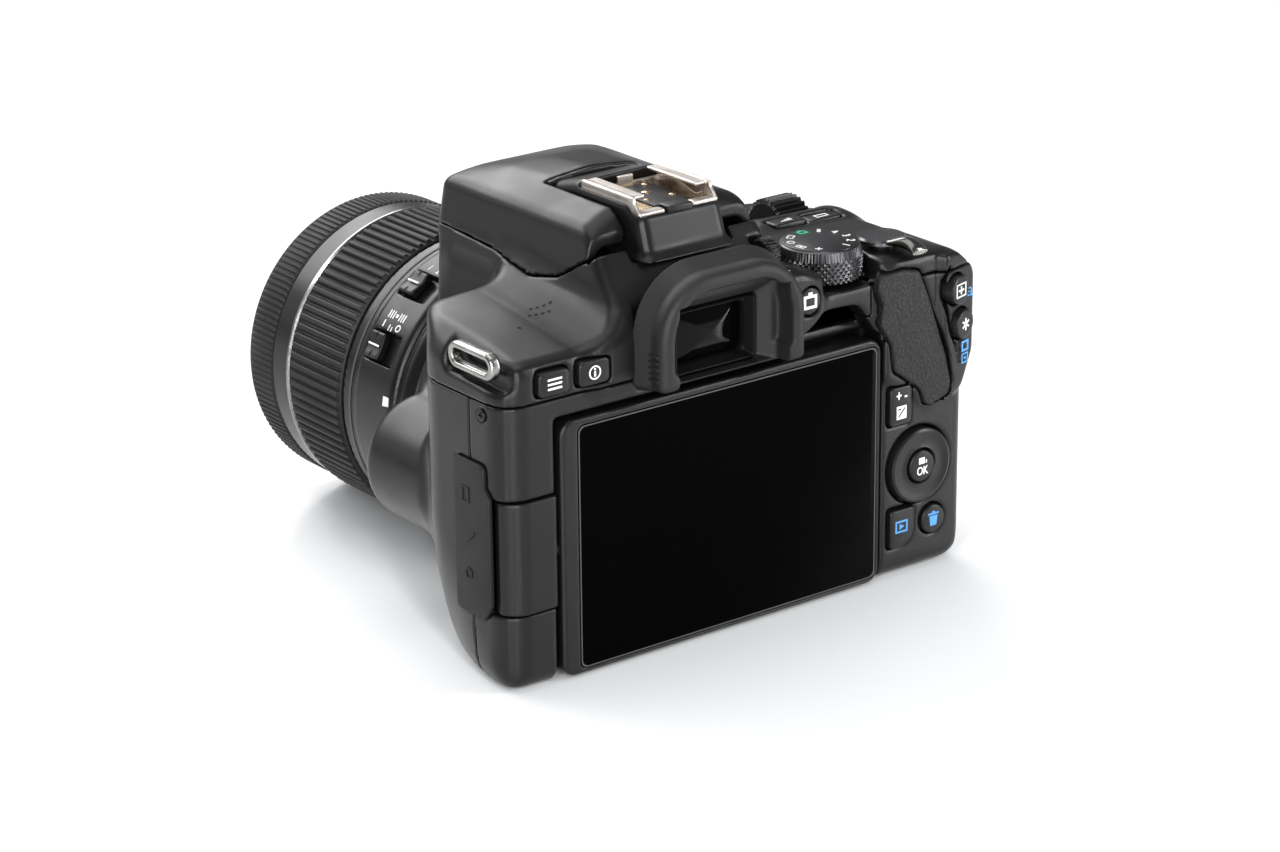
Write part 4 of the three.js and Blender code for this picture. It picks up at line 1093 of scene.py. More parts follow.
def make_shoe_leaf(name, x0, x1):
    """A bowed spring under one lip."""
    sections = []
    for k in range(15):
        t = k / 14
        y = SHOE_Y0 + 2.0 + 13.5 * t
        z = SHOE_FLOOR + 0.2 + 1.5 * math.sin(math.pi * t) ** 1.4
        sections.append([(x0, y, z), (x1, y, z), (x1, y, z + 0.22), (x0, y, z + 0.22)])
    put(f"shoe_leaf_{name}", *loft(sections), "camera_body", FINISH["nickel"], sharp=40)


# ---- dials, levers and buttons ----

def toothed(teeth, depth, steepness, edge, bias=0.0, lift=0.0):
    """Straight ribs along the axis, cut only where the section is wider than edge."""
    def ripple(angle, r, h):
        wave = np.clip(steepness * np.cos(teeth * angle) + bias, -1, 1)
        return depth * wave + lift if r > edge else 0
    return ripple


def knurled(angle, r, h, teeth, pitch, depth, edge):
    """Two crossed sets of slanted grooves, which leave diamonds."""
    def wave(p):
        return 1 - 2 * np.abs(p - np.floor(p) - 0.5)
    turn = teeth * angle / (2 * np.pi)
    return depth * np.minimum(wave(turn + h / pitch), wave(turn - h / pitch)) if r > edge else 0


def make_dials():
    make_mode_dial()
    make_power_lever()
    half, teeth = 4.2, 30
    profile = [(0.02, -half), (WHEEL_R - 0.9, -half), (WHEEL_R - 0.35, 0.5 - half)]
    profile += [(WHEEL_R - 0.3, (half - 0.5) * (k / 4 - 1)) for k in range(9)]
    profile += [(WHEEL_R - 0.9, half), (0.02, half)]
    put("main_dial_wheel", *solid_of_revolution(
        profile, teeth * 8, (WHEEL_X, WHEEL_Y, WHEEL_Z), "x", toothed(teeth, 0.45, 1.6, WHEEL_R - 0.5)),
        "main_dial", FINISH["control_plastic"], ["main_dial"], sharp=25)
    teeth = 26
    profile = [(0.02, -1.5), (2.8, -1.5), (3.1, -1.2), (3.1, 1.2), (2.8, 1.5), (0.02, 1.5)]
    put("diopter_wheel", *solid_of_revolution(
        profile, teeth * 6, (AX - 18.9, DIOPTER_Y, DIOPTER_Z), "x", toothed(teeth, 0.2, 1.5, 3)),
        "diopter_knob", FINISH["control_plastic"], ["diopter_knob"], sharp=25)


def make_mode_dial():
    rows, teeth = 48, 42
    low, high = -1.5, DIAL_Z1 - DIAL_Z0
    wall = [(DIAL_R - 0.45, low + 0.3 + (high - 1.0) * k / rows) for k in range(rows + 1)]
    profile = [(0.02, low), (DIAL_R - 0.9, low)] + wall + [(DIAL_R - 0.6, high - 0.25), (DIAL_R - 0.95, high)]
    put("mode_dial_knurl", *solid_of_revolution(profile, teeth * 10, (DIAL_X, DIAL_Y, DIAL_Z0), "z",
        lambda a, r, h: knurled(a, r, h, teeth, 1.5, 0.5, DIAL_R - 0.5)), "mode_dial", KNURL_METAL,
        ["mode_dial"], sharp=25)
    profile = [(DIAL_R - 1.0, 0), (DIAL_R - 1.05, 0.22), (DIAL_R - 1.3, 0.3), (0.02, 0.34)]
    put("mode_dial_top", *solid_of_revolution(profile, 96, (DIAL_X, DIAL_Y, DIAL_Z1 - 0.05), "z"), "mode_dial",
        DIAL_TOP)


def make_power_lever():
    profile = [(0.02, 0), (5.0, 0), (LEVER_R, 0.2), (LEVER_R, 0.9), (4.8, 1.35), (3.2, 1.25), (0.02, 1.2)]
    put("power_lever_disc", *solid_of_revolution(profile, 72, (LEVER_X, LEVER_Y, LEVER_Z0), "z"), "power_lever",
        FINISH["dark_metal"], ["power_lever"])
    angles = [2 * math.pi * k / 20 for k in range(20)]
    sections = []
    for k in range(13):
        t = k / 12
        half = 3.4 - 1.5 * min(t * 1.6, 1) + 0.5 * max(t - 0.7, 0)
        top = LEVER_Z0 + 1.3 + 1.15 * math.sin(math.pi * min(t * 0.9, 1)) ** 2 - 14.4 * max(t - 0.75, 0) ** 2
        low = LEVER_Z0 + 0.1 - 1.2 * max(t - 0.5, 0)
        sections.append([(LEVER_X - 0.9 * t + half * math.cos(a), LEVER_Y + 2.6 + 8.6 * t,
                          (top + low) / 2 + (top - low) / 2 * math.sin(a)) for a in angles])
    put("power_lever_tab", *loft(sections), "power_lever", TAB_METAL, sharp=50)
    put("power_lever_stem", *solid_of_revolution(
        [(3, 72.2), (3, LEVER_Z0 + 0.1)], 40, (LEVER_X, LEVER_Y, 0), "z"), "power_lever",
        FINISH["control_plastic"])


def make_buttons():
    for name, plane, top, shape in BUTTONS:
        put(f"{name}_cap", *soft_prism(shape, top - BUTTON_DEPTH, top, 0.45, plane), name,
            FINISH["control_plastic"], [name])
    for name, x0, y0, z0 in CORNER_BUTTONS:
        profile = [(0.02, -2.4), (3.2, -2.4), (3.2, 1.5), (3.05, 1.85), (2.7, 2.0), (1.6, 1.86), (0.02, 1.8)]
        vertices, faces = solid_of_revolution(profile, 40, (0, 0, 0), "y")
        lean = Matrix.Rotation(CORNER_LEAN, 3, "Z")
        vertices = [tuple(lean @ Vector(v) + Vector((x0, y0, z0))) for v in vertices]
        put(f"{name}_cap", vertices, faces, name, FINISH["control_plastic"], [name])
    profile = [(3.85, 55.2), (3.85, 58.7), (4.1, 59.0), (5.2, 58.75), (6.6, 59.0), (7.6, 59.15), (8.1, 58.9),
               (8.3, 58.4), (8.3, 55.2)]
    put("cross_pad_ring", *revolve(profile, 96, (PAD_X, 0, PAD_Z)), "cross_pad", FINISH["control_plastic"],
        ["cross_pad"])
    profile = [(0.02, 64.5), (SHUTTER_R, 64.5), (SHUTTER_R, 70.4), (SHUTTER_R - 0.5, 71.0), (2.0, 70.75),
               (0.02, 70.6)]
    put("shutter_release_cap", *solid_of_revolution(profile, 64, (SHUTTER_X, SHUTTER_Y, 0), "z"),
        "shutter_button", FINISH["control_plastic"], ["shutter_button"])
    profile = [(0.02, RELEASE_Y1), (RELEASE_R, RELEASE_Y1), (RELEASE_R, RELEASE_Y0 + 0.4),
               (RELEASE_R - 0.5, RELEASE_Y0), (0.02, RELEASE_Y0 + 0.2)]
    put("lens_release_cap", *solid_of_revolution(profile, 48, (RELEASE_X, 0, RELEASE_Z), "y"),
        "lens_release_button", FINISH["control_plastic"], ["lens_release_button"])


# ---- skins, doors, lugs and fasteners ----

def make_skins_and_doors():
    put("thumb_rest_skin", *soft_prism(thumb_outline, 57.5, 59.5, 0.7, steps=5), "camera_body",
        FINISH["grip_rubber"], ["thumb_rubber"])
    put("base_plate_form", *soft_prism(base_outline, BASE + 1.8, BASE, 0.3, "z"), "camera_body",
        FINISH["body_plastic"], ["base_plate"])
    put("battery_door_panel", *soft_prism(door_outline, BASE + 2, BASE, 0.35, "z"), "battery_door",
        FINISH["body_plastic"], ["battery_door"])
    right_outline = growing_rectangle(24, 40, 16, 38, 1.5)
    for name, shape, inner, outer, plug in (
            ("left_terminal", terminal_outline, LEFT - 0.75, LEFT + 0.12,
             ((58.4, 42.4, 19.4), (60.8, 48.1, 48.6))),
            ("right_terminal", right_outline, RIGHT + 0.95, RIGHT + 0.02,
             ((RIGHT + 0.6, 26.4, 18.4), (-57.6, 37.6, 35.6)))):
        cover = f"{name}_cover"
        put(f"{name}_flap", *soft_prism(shape, inner, outer, 0.35, "x"), cover, FINISH["ring_rubber"], [cover])
        rounded_box(f"{name}_plug", *plug, 0.5, cover, FINISH["ring_rubber"])


def lug_shape(y0, y1, z0, z1, x0, x1, band=1.45):
    """A flat loop for a strap: a rounded frame whose wire is about band wide."""
    def shape(x, y, z):
        outer = smax(inside_outline(rectangle(y0, y1, z0, z1, 2.6), y, z), slab(x, x0, x1), 0.9)
        hole = inside_outline(rectangle(y0 + band, y1 - band, z0 + band, z1 - band, 1.2), y, z)
        return smax(outer, -hole, 0.7)
    return shape


def make_lugs():
    fine = grid_step(0.2)
    carved("strap_lug_left_loop", (58.2, 39.8, 68.2), (61.2, 55.2, 74.2), fine,
           lug_shape(40, 55, 68.4, 74, 58.4, 61.0), "camera_body", LUG_METAL, ["strap_lug_left"])
    carved("strap_lug_right_loop", (-61.4, 25.8, 64.4), (-59, 39.2, 70.6), fine,
           lug_shape(26, 39, 64.6, 70.4, -61.2, -59.2), "camera_body", LUG_METAL, ["strap_lug_right"])
    screw("side_screw", (LEFT - 0.55, *SIDE_SCREW), "x", 1, 1.25)
    for k, (x0, y0) in enumerate([(44, 40), (-22, 40), (28, 9), (-9, 9)]):
        screw(f"base_screw_{k}", (x0, y0, BASE + 0.3), "z", -1, 1.3)


def screw(name, at, axis, outward, r):
    """A small cross-head screw, its slots cut by field."""
    order = {"x": (1, 2, 0), "z": (0, 1, 2)}[axis]
    slot_half, slot_reach = 0.17, r * 0.62

    def shape(*p):
        u, v, w = (p[i] - at[i] for i in order)
        w = w * outward
        head = smax(disc(u, v, 0, 0, r), slab(w, -0.9, 0.25 - 0.06 * (u ** 2 + v ** 2)), 0.25)
        cross = np.minimum(np.maximum(np.abs(u) - slot_half, np.abs(v) - slot_reach),
                           np.maximum(np.abs(v) - slot_half, np.abs(u) - slot_reach))
        return np.maximum(head, -np.maximum(cross, -0.35 - w))
    low = np.array(at) - r - 0.2
    high = np.array(at) + r + 0.2
    carved(name, low, high, grid_step(0.1), shape, "camera_body", SCREW_BLACK)


# ---- lens ----

BARREL_R = 33.0
SWITCH_Y, SWITCH_HALF = -17.3, 2.9
SWITCHES = [("focus_mode_switch", math.radians(55)), ("stabilizer_switch", math.radians(28))]


def on_axis_of_switch(x, z, angle):
    """Distance out from the lens axis towards a switch, and across that direction."""
    c, s = math.cos(angle), math.sin(angle)
    return (x - AX) * c + (z - AZ) * s, -(x - AX) * s + (z - AZ) * c


def make_barrel():
    """The fixed barrel: a turned section of (radius, y) with pockets for the two switches."""
    section = outline([
        (25, 3.4), (25.9, 3.4), (25.9, -3.3), (30.9, -3.3), (31.5, -4.2), (32.2, -6.2), (32.3, -7.4), (31.9, -7.8),
        (31.9, -8.8), (32.7, -9.4), (BARREL_R, -10.4), (BARREL_R, -22.9), (32.8, -23.2), (32.45, -23.4),
        (32.45, -25.2), (32.6, -25.3), (32.6, -25.6), (32.45, -25.7), (32.45, -28.2), (32.2, -28.4), (28.8, -28.4),
        (28.8, -9), (25, -9)])

    def shape(x, y, z):
        form = inside_outline(section, disc(x, z, AX, AZ, 0), y)
        for _, angle in SWITCHES:
            along, across = on_axis_of_switch(x, z, angle)
            pocket = ball_box(along, y, across, (31.6, SWITCH_Y - 4.9, -SWITCH_HALF - 0.5),
                              (40, SWITCH_Y + 4.9, SWITCH_HALF + 0.5), 0.6)
            form = smax(form, -pocket, 0.3)
        return form
    reach = BARREL_R + 0.6
    carved("lens_barrel_form", (AX - reach, -28.8, AZ - reach), (AX + reach, 3.8, AZ + reach),
           grid_step(0.4), shape, "lens", FINISH["lens_plastic"], ["lens_barrel"])


def make_lens():
    make_barrel()
    for name, angle in SWITCHES:
        make_switch(name, angle)
    ribs, rib_depth, first, last = 95, 0.42, -29.7, -48.3
    profile = [(30.6, -29.1), (32.3, -29.1), (32.6, -29.4)]
    profile += [(33.3, first + (last - first) * k / 6) for k in range(7)]
    profile += [(32.6, -48.6), (32.6, -49.1), (30.6, -49.1)]
    put("zoom_ring_ribs", *revolve(
        profile, ribs * 8, ripple=toothed(ribs, rib_depth, 1.9, 32.9, 0.55, -rib_depth)), "zoom",
        FINISH["ring_rubber"], ["zoom_ring"], sharp=30)
    profile = [(30.9, -49.15), (32.7, -49.15), (33.1, -49.45), (33.1, -49.95), (32.7, -50.4), (30.9, -50.4)]
    put("zoom_trim_ring", *revolve(profile, 160), "zoom", BRIGHT_RING)
    put("front_barrel_form", *revolve([
        (27, -12), (28.4, -12), (28.4, -30), (30.2, -30), (30.2, -50.75), (32.2, -50.75), (32.45, -51.0),
        (32.45, -56.3), (32.25, -56.6), (30.4, -56.6), (30.4, -65.4), (30.0, -65.6), (29.6, -65.3), (29.4, -64.4),
        (28.2, -64.1), (28.0, -63.4), (26.4, -63.1), (26.2, -62.3), (24.4, -62.0), (24.2, -61.2), (21.2, -60.4),
        (21, -52), (27, -49)], 128), "lens_front", FINISH["lens_plastic"], ["front_barrel"])
    ribs, rib_depth = 150, 0.2
    profile = [(30.8, -56.9), (32.2, -56.9), (32.75, -57.3), (32.75, -61), (32.75, -65.2), (32.3, -66.0),
               (31.8, -66.3), (30.8, -66.3)]
    put("focus_ring_ribs", *revolve(
        profile, ribs * 6, ripple=toothed(ribs, rib_depth, 1.6, 32.5, lift=-rib_depth)), "focus",
        FINISH["ring_rubber"], ["focus_ring"], sharp=30)
    glass_r, crown, turns = 20.6, -58.6, [math.pi / 2 * k / 10 for k in range(1, 11)]
    dome = [(0.02, crown)] + [(glass_r * math.sin(t), crown + 3.2 * (1 - math.cos(t))) for t in turns]
    dome += [(glass_r, -52.6), (0.02, -52.6)]
    put("front_lens_group", *solid_of_revolution(dome, 72, (AX, 0, AZ), "y"), "lens_front",
        FINISH["optical_glass"], ["front_element"])
    put("lens_mount_bayonet", *revolve([
        (26.9, -3.0), (31.9, -3.0), (32.0, -2.8), (32.0, -1.3), (26.9, -1.3)], 128), "camera_body",
        FINISH["nickel"], ["lens_mount_ring"])
    # A thin grey band of painted highlight on the barrel's raised ridge.
    put("barrel_ridge_painted_highlight", *revolve([
        (32.3, -25.75), (32.62, -25.75), (32.62, -25.15), (32.3, -25.15)], 160), "lens", EDGE_HIGHLIGHT_GREY)


def make_switch(name, angle):
    """A slide switch knob with a finger scoop, one groove and a white line, turned to its place on the barrel."""
    def shape(x, y, z):
        along, across = on_axis_of_switch(x, z, angle)
        knob = ball_box(along, y, across, (31.7, SWITCH_Y - 4.3, -SWITCH_HALF),
                        (34.0, SWITCH_Y + 0.7, SWITCH_HALF), 0.5)
        slot = np.maximum(np.abs(y - SWITCH_Y + 1.8) - 0.16, 33.75 - along)
        return smax(smax(knob, -disc(along, across, 39.2, 0, 5.6), 0.3), -slot, 0.1)
    middle = Vector((AX + 32.9 * math.cos(angle), SWITCH_Y - 1.8, AZ + 32.9 * math.sin(angle)))
    reach = Vector((4.2, 3.2, 4.2))
    carved(f"{name}_knob", middle - reach, middle + reach, grid_step(0.2), shape, name,
           FINISH["control_plastic"], [name])
    turn = Matrix.Rotation(-angle, 3, "Y")
    corners = [turn @ Vector((34.02 + dz, y, z)) + Vector((AX, 0, AZ)) for dz in (0, 0.05)
               for y in (SWITCH_Y - 3.6, SWITCH_Y + 0.2) for z in (-0.2, 0.2)]
    faces = [(0, 1, 3, 2), (4, 6, 7, 5), (0, 4, 5, 1), (2, 3, 7, 6), (0, 2, 6, 4), (1, 5, 7, 3)]
    put(f"{name}_line", corners, faces, name, WHITE_INK)


# ---- legends: thin printed shapes a little proud of the surface they are on, and dark discs of painted shade for the speaker holes ----

def on_back(x0, z0, level):
    """A place on the rear face: u to the viewer's right, v up, w out of the surface."""
    return lambda u, v, w: (x0 - u, level + w, z0 + v)


def on_top(x0, y0, level, turn=0.0):
    """A place on a level surface, read from behind; turn swings it about its middle."""
    c, s = math.cos(turn), math.sin(turn)
    return lambda u, v, w: (x0 - (u * c - v * s), y0 - (u * s + v * c), level + w)


def on_barrel(degrees, y0, r):
    """A place on the lens barrel, read along it."""
    a0 = math.radians(degrees)
    return lambda u, v, w: (AX + (r + w) * math.cos(a0 + v / r), y0 + u, AZ + (r + w) * math.sin(a0 + v / r))


def on_corner(x0, y0, z0, level):
    """A place on the leaning facet beside the thumb rest."""
    c, s = math.cos(CORNER_LEAN), math.sin(CORNER_LEAN)
    return lambda u, v, w: (x0 - u * c - (level + w) * s, y0 - u * s + (level + w) * c, z0 + v)


def on_left(y0, z0, level):
    """A place on the left end: the viewer's right is +Y."""
    return lambda u, v, w: (level + w, y0 + u, z0 + v)


INK, RAISED = 0.05, 0.18  # how far print and moulded marks stand proud


def inked(name, shapes, spot, body, ink, thick=INK):
    """Closed outlines in u and v as thin prisms at a place."""
    vertices, faces = [], []
    for shape in shapes:
        start, count = len(vertices), len(shape)
        vertices += [spot(p[0], p[1], -INK) for p in shape] + [spot(p[0], p[1], thick) for p in shape]
        faces.append(tuple(range(start, start + count)))
        faces.append(tuple(range(start + 2 * count - 1, start + count - 1, -1)))
        for k in range(count):
            n = (k + 1) % count
            faces.append((start + n, start + k, start + count + k, start + count + n))
    return put(name, vertices, faces, body, ink)


def words(name, text, height, spot, body, ink, stretch):
    """Plain lettering, centred on its place and cut into flat prisms."""
    data = bpy.data.curves.new(name, "FONT")
    data.body = text
    data.align_x = "CENTER"
    data.align_y = "CENTER"
    data.size = height * 1.38
    data.extrude = INK
    data.offset = 0.02 * height
    data.resolution_u = 3
    letters = bpy.data.objects.new(name, data)
    bpy.context.scene.collection.objects.link(letters)
    mesh = letters.evaluated_get(bpy.context.evaluated_depsgraph_get()).to_mesh()
    work = bmesh.new()
    work.from_mesh(mesh)
    bmesh.ops.remove_doubles(work, verts=work.verts, dist=1e-4)
    for v in work.verts:
        v.co = (Vector(spot(v.co.x * stretch, v.co.y, v.co.z)) - DATUM) * MM
    bmesh.ops.recalc_face_normals(work, faces=work.faces)
    flat = bpy.data.meshes.new(name)
    work.to_mesh(flat)
    work.free()
    bpy.data.objects.remove(letters)
    bpy.data.curves.remove(data)
    return place(name, flat, body, ink)


def bar(u0, v0, u1, v1, width=0.3):
    """A straight stroke between two points."""
    length = math.hypot(u1 - u0, v1 - v0)
    nu, nv = -(v1 - v0) / length * width / 2, (u1 - u0) / length * width / 2
    return [(u0 + nu, v0 + nv), (u0 - nu, v0 - nv), (u1 - nu, v1 - nv), (u1 + nu, v1 + nv)]


def boxed(u0, u1, v0, v1, width=0.3):
    """The four strokes of a frame, which meet without overlapping."""
    h = width / 2
    return [bar(u0 - h, v1, u1 + h, v1, width), bar(u0 - h, v0, u1 + h, v0, width),
            bar(u0, v0 + h, u0, v1 - h, width), bar(u1, v0 + h, u1, v1 - h, width)]


def filled(u0, u1, v0, v1):
    return [(u0, v0), (u1, v0), (u1, v1), (u0, v1)]


def ring(u0, v0, r, width=0.3, sides=20):
    """A circle drawn as a chain of short strokes."""
    parts = []
    for k in range(sides):
        a, b = 2 * math.pi * k / sides, 2 * math.pi * (k + 1) / sides
        parts.append([(u0 + q * math.cos(t), v0 + q * math.sin(t))
                      for q, t in ((r, a), (r, b), (r - width, b), (r - width, a))])
    return parts


def dial_spot(degrees):
    """A place near the mode dial's rim, its top turned outwards; 0 is towards the viewer."""
    turn = math.radians(degrees)
    x0 = DIAL_X - 6.3 * math.sin(turn)
    y0 = DIAL_Y + 6.3 * math.cos(turn)
    return on_top(x0, y0, DIAL_Z1 + 0.27, turn + math.pi)


def body_top(x0, y0):
    """The height of the body's upper surface above a point."""
    z = np.linspace(90, 64, 521)
    inside = body_form(np.full_like(z, x0), np.full_like(z, y0), z) < 0
    return float(z[np.argmax(inside)])


def on_deck(x0, y0, turn=0.0):
    """A place on the body's upper surface, following its slope."""
    flat = on_top(x0, y0, 0.0, turn)

    def spot(u, v, w):
        x, y, _ = flat(u, v, 0)
        return x, y, body_top(x, y) + w
    return spot


def dash(u0, u1, v0, width=0.3):
    return bar(u0, v0, u1, v0, width)


def rear_legends():
    inked("menu_icon", [dash(-1.7, 1.7, v, 0.42) for v in (-0.95, 0, 0.95)], on_back(48.85, 67.1, 59.0),
          "menu_button", WHITE_INK)
    inked("info_icon", ring(0, 0, 1.45, 0.3, 24) + [bar(0, -0.8, 0, 0.3, 0.42), bar(0, 0.5, 0, 0.9, 0.42)],
          on_back(39.15, 67.25, 59.0), "info_button", WHITE_INK)
    words("exposure_signs", "+ -", 2.4, on_back(-40.8, 44.4, 58.9), "exposure_button", WHITE_INK, 0.8)
    inked("exposure_icon", [filled(-1.35, 1.35, -2.0, 0.9)], on_back(-40.8, 41.3, 58.9), "exposure_button",
          WHITE_INK)
    inked("exposure_icon_slash", [bar(-0.9, -1.5, 0.9, 0.4, 0.28), dash(-1.0, -0.2, 0.2)],
          on_back(-40.8, 41.3, 58.96), "exposure_button", GLOSS_BLACK)
    words("set_word", "OK", 1.9, on_back(PAD_X, PAD_Z - 1.1, 59.4), "set_button", WHITE_INK, 0.8)
    inked("set_icon", [filled(-1.0, 0.6, 0.55, 1.95), filled(0.9, 1.2, 0.55, 1.3)], on_back(PAD_X, PAD_Z, 59.4),
          "set_button", WHITE_INK)
    inked("play_icon", boxed(-1.5, 1.5, -1.15, 1.15, 0.4) + [[(-0.55, -0.65), (0.75, 0), (-0.55, 0.65)]],
          on_back(-41.3, 14.9, 58.9), "play_button", BLUE_INK)
    bin_body = [(-0.85, -1.5), (0.85, -1.5), (1.15, 0.75), (-1.15, 0.75)]
    inked("erase_icon", [bin_body, dash(-1.5, 1.5, 1.2, 0.4), dash(-0.45, 0.45, 1.6)],
          on_back(-50.6, 14.3, 58.6), "erase_button", BLUE_INK)
    inked("live_view_icon", boxed(-1.45, 1.45, -1.35, 0.95, 0.62) + [dash(-0.55, 0.55, 1.6, 0.55)],
          on_back(-15.6, 70.5, 58.9), "live_view_button", WHITE_INK)
    words("diopter_marks", "-  +", 2.2, on_back(AX - 19.6, 76.6, 57.35), "camera_body", WHITE_INK, 0.9)


def corner_legends():
    (_, x0, y0, z0), (_, x1, y1, z1) = CORNER_BUTTONS
    inked("focus_point_icon", boxed(-1.7, 1.7, -1.35, 1.35) + [
        dash(-1.0, 1.0, 0, 0.4), bar(0, -0.85, 0, -0.2, 0.4), bar(0, 0.2, 0, 0.85, 0.4)],
        on_corner(x0, y0, z0, 1.92), "focus_point_button", WHITE_INK)
    strokes = []
    for k in range(6):
        c, s = math.cos(math.radians(90 + 60 * k)), math.sin(math.radians(90 + 60 * k))
        strokes.append(bar(0.25 * c, 0.25 * s, 1.35 * c, 1.35 * s, 0.42))
    inked("exposure_lock_icon", strokes, on_corner(x1, y1, z1, 1.92), "exposure_lock_button", WHITE_INK)
    inked("magnifier_icon", ring(0, 0, 1.0) + [bar(0.75, -0.75, 1.5, -1.5, 0.35), dash(-0.45, 0.45, 0)],
          on_corner(x0 - 4.35, y0 - 1.2, z0 - 1.6, 1.07), "camera_body", BLUE_INK)
    inked("index_icon", boxed(-1.05, 1.05, -0.95, 0.95, 0.5), on_corner(x1 - 1.1, y1 - 0.31, z1 - 5.2, 1.12),
          "camera_body", BLUE_INK)
    inked("grid_icon", boxed(-1.05, 1.05, -0.95, 0.95) + [dash(-0.3, 0.3, 0, 0.6)],
          on_corner(x1 - 1.1, y1 - 0.31, z1 - 7.9, 1.12), "camera_body", BLUE_INK)


def top_legends():
    steps = [filled(u, u + 0.5, -0.6, -0.2 + 0.3 * k) for k, u in enumerate((-1.5, -0.7, 0.1, 0.9))]
    inked("iso_icon", steps, on_top(-36.4, 25.8, 75.9), "iso_button", WHITE_INK)
    inked("display_icon", boxed(-1.5, 1.5, -0.6, 0.6), on_top(-46.2, 25.8, 75.0), "display_button", WHITE_INK)
    inked("power_marks", [bar(-2.6, -0.6, -2.6, 0.6, 0.35)] + ring(2.2, 0, 0.7, 0.25),
          on_deck(-43.4, 41.6, math.radians(-14)), "camera_body", WHITE_INK)
    for k in range(5):
        words(f"dial_number_{k + 1}", str(k + 1), 1.8, dial_spot(18 + 31 * k), "mode_dial", WHITE_INK, 0.9)
    for name, shapes, turn, ink in (
            ("auto", boxed(-0.9, 0.9, -0.7, 0.7, 0.35) + [dash(-0.3, 0.3, 1.15)], 176, GREEN_INK),
            ("frame", boxed(-0.9, 0.9, -0.65, 0.65, 0.22), 214, WHITE_INK),
            ("ring", ring(0, 0, 0.85, 0.22, 16), 248, WHITE_INK),
            ("film", boxed(-0.95, 0.95, -0.6, 0.6, 0.22) + [filled(-0.3, 0.3, -0.3, 0.3)], 282, WHITE_INK),
            ("cross", [dash(-0.8, 0.8, 0), bar(0, 0.2, 0, 0.8), bar(0, -0.8, 0, -0.2)], 318, WHITE_INK)):
        inked(f"dial_{name}", shapes, dial_spot(turn), "mode_dial", ink)
    inked("dial_index", [dash(-0.9, 0.9, 0, 0.45)], on_deck(-38.3, 44.6, math.radians(25)), "camera_body",
          WHITE_INK)
    # The speaker holes are dark discs of painted shade, not openings.
    for k in range(8):
        column, row = k % 4, k // 4
        speaker_hole_shade(k, 40.6 - 1.17 * column - 1.7 * row, 39.5 + 0.57 * column - 1.9 * row, 0.4)
    speaker_hole_shade(8, 45.6, 42.9, 0.5)


def speaker_hole_shade(k, x0, y0, r):
    # The hole is not cut: a dark matte disc stands in its place, painted shade for the hole's dark inside.
    disc_outline = [tuple(p) for p in circle(0, 0, r, 14)]
    inked(f"speaker_hole_shade_{k}", [disc_outline], on_deck(x0, y0), "camera_body", FINISH["inner_plastic"])


def lens_legends():
    def on_scale(degrees, dy):
        return on_barrel(degrees, SWITCH_Y + dy, BARREL_R)
    waves = [bar(s * u, -0.9, s * u, 0.9, 0.35) for s in (-1, 1) for u in (1.1, 1.9, 2.7)]
    words("focus_numbers", "1    2", 1.75, on_scale(63.8, -0.8), "lens", WHITE_INK, 0.8)
    inked("steady_icon", [filled(-0.4, 0.4, -0.4, 0.4)] + waves, on_scale(40.8, 0.1), "lens", WHITE_INK)
    inked("steady_marks", [bar(-2.6, -0.8, -2.6, 0.8, 0.4)] + ring(2.6, 0, 0.85, 0.3), on_scale(36.6, -0.2),
          "lens", WHITE_INK)
    inked("steady_ticks", [bar(-0.35, -0.5, -0.35, 0.9), bar(0.6, -0.5, 0.6, 0.6)], on_scale(35.4, -0.2),
          "lens", WHITE_INK)
    inked("mount_index", [[(-1.1, -1.1), (1.1, -0.8), (0.9, 1.1), (-1.1, 1.1)]],
          on_barrel(9.7, -11.4, BARREL_R), "lens", WHITE_INK)


def door_legends():
    for name, shapes, y0, z0 in (
            ("port_mark", boxed(-1.0, 1.0, -1.5, 1.5, 0.35), 45.6, 43.2),
            ("arrow", [bar(-1.2, -1.2, 1.2, 1.2, 0.4)], 47.2, 34.6),
            ("ring_mark", ring(0, 0, 1.2, 0.35), 46.2, 26.6)):
        inked(f"terminal_{name}", shapes, on_left(y0, z0, LEFT + 0.12), "left_terminal_cover",
              FINISH["ring_rubber"], RAISED)


make_screen()
make_finder()
make_shoe()
make_dials()
make_buttons()
make_skins_and_doors()
make_lugs()
make_lens()
rear_legends()
corner_legends()
top_legends()
lens_legends()
door_legends()


# ---- floor, light and camera ----

def make_stage():
    bpy.ops.mesh.primitive_plane_add(size=8)
    floor = bpy.context.object
    floor.name = "floor"
    material, tree, shader = new_material("pale_floor", (0.86, 0.87, 0.88), 0.32)
    mottle = texture(tree, "ShaderNodeTexNoise", 90.0, Detail=3.0)
    spread(tree, mottle.outputs["Fac"], 0.26, 0.36, shader.inputs["Roughness"])
    floor.data.materials.append(material)
    world = bpy.data.worlds.new("studio")
    bpy.context.scene.world = world
    bpy.context.scene.view_settings.view_transform = "Standard"
    world.use_nodes = True
    background = world.node_tree.nodes["Background"]
    background.inputs["Color"].default_value = (0.95, 0.97, 1.0, 1)
    background.inputs["Strength"].default_value = 0.26


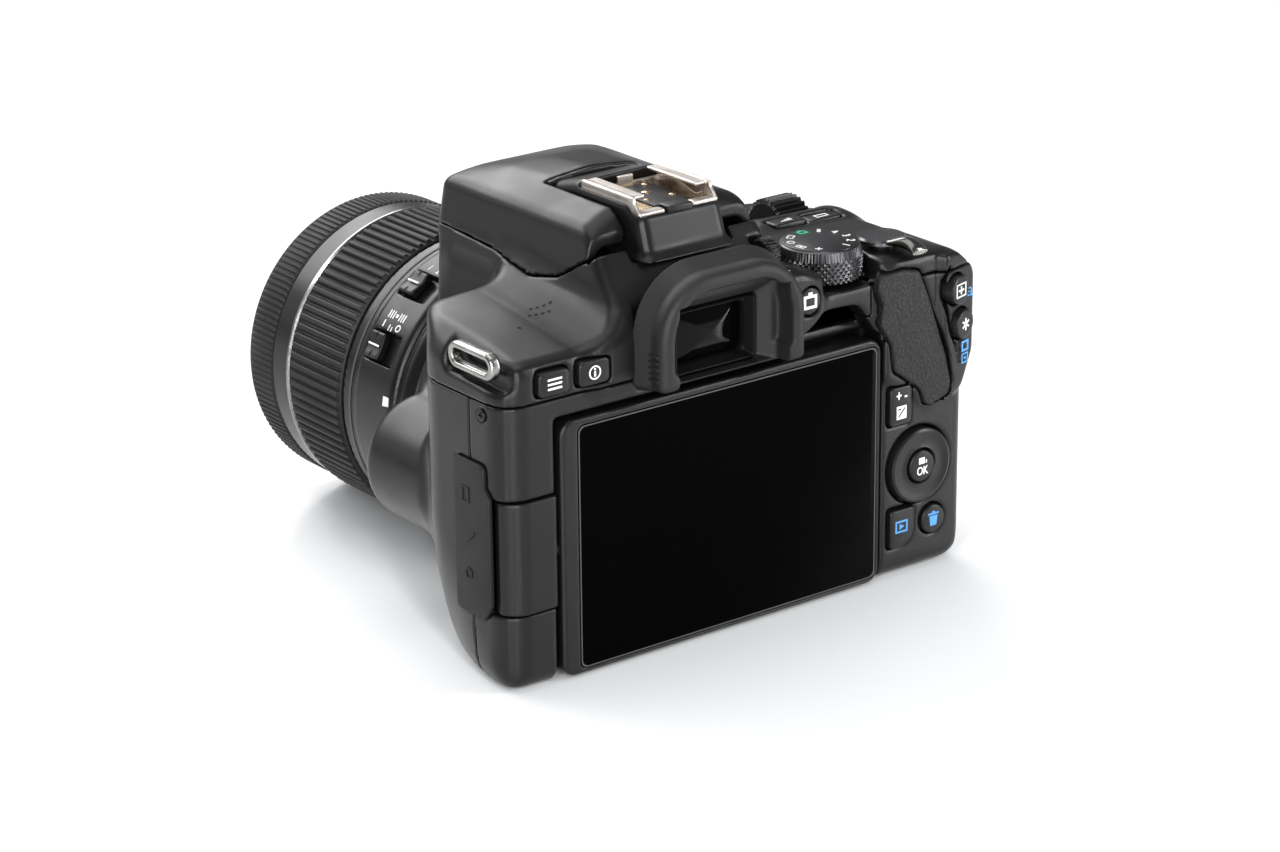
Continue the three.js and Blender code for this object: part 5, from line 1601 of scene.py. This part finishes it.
def add_light(name, position, target, size, power):
    """A soft rectangular lamp, in metres and watts."""
    data = bpy.data.lights.new(name, "AREA")
    data.shape = "RECTANGLE"
    data.size, data.size_y = size
    data.energy = power
    lamp = bpy.data.objects.new(name, data)
    bpy.context.scene.collection.objects.link(lamp)
    lamp.location = position
    lamp.rotation_euler = (Vector(target) - Vector(position)).to_track_quat("-Z", "Y").to_euler()


def make_camera():
    """The viewer stands behind the camera, to its left and a little above it."""
    azimuth, elevation, roll = math.radians(142.69), math.radians(20.14), math.radians(0.54)
    target = (Vector((27.88, 58.5, 53.41)) - DATUM) * MM
    back = Vector((math.sin(azimuth) * math.cos(elevation), -math.cos(azimuth) * math.cos(elevation),
                   math.sin(elevation)))
    data = bpy.data.cameras.new("view")
    data.sensor_width = 36
    data.lens = 104.37
    data.clip_start = 0.01
    viewer = bpy.data.objects.new("view", data)
    bpy.context.scene.collection.objects.link(viewer)
    level = back.to_track_quat("Z", "Y").to_matrix()
    viewer.rotation_euler = (level @ Matrix.Rotation(-roll, 3, "Z")).to_euler()
    viewer.location = target + back * 0.73489
    bpy.context.scene.camera = viewer


def finish_cad_nodes():
    """Every CAD node that still shows takes the finish of its slot in the record."""
    for subpart in frame["record"]["subparts"]:
        node = frame["nodes"][subpart["node"]]
        node.data.materials.clear()
        node.data.materials.append(FINISH[subpart["material_slot"]])


finish_cad_nodes()
make_stage()
for light in (
        ("left_strip", (0.78, 0.62, 0.26), (0.02, 0.04, 0.05), (0.05, 0.9), 7),
        ("rear_strip", (0.40, 0.85, 0.30), (0.02, 0.04, 0.05), (0.05, 0.9), 8),
        ("right_strip", (-0.75, 0.75, 0.30), (-0.03, 0.04, 0.05), (0.06, 0.9), 9),
        ("top_soft", (0.0, -0.1, 1.3), (0, 0.02, 0.05), (1.2, 1.0), 8),
        ("front_left", (0.7, -0.75, 0.5), (0, -0.02, 0.04), (0.5, 0.7), 1.2),
        ("floor_wash", (0.0, -1.6, 1.2), (0, -0.6, 0), (2.2, 0.8), 38)):
    add_light(*light)
make_camera()
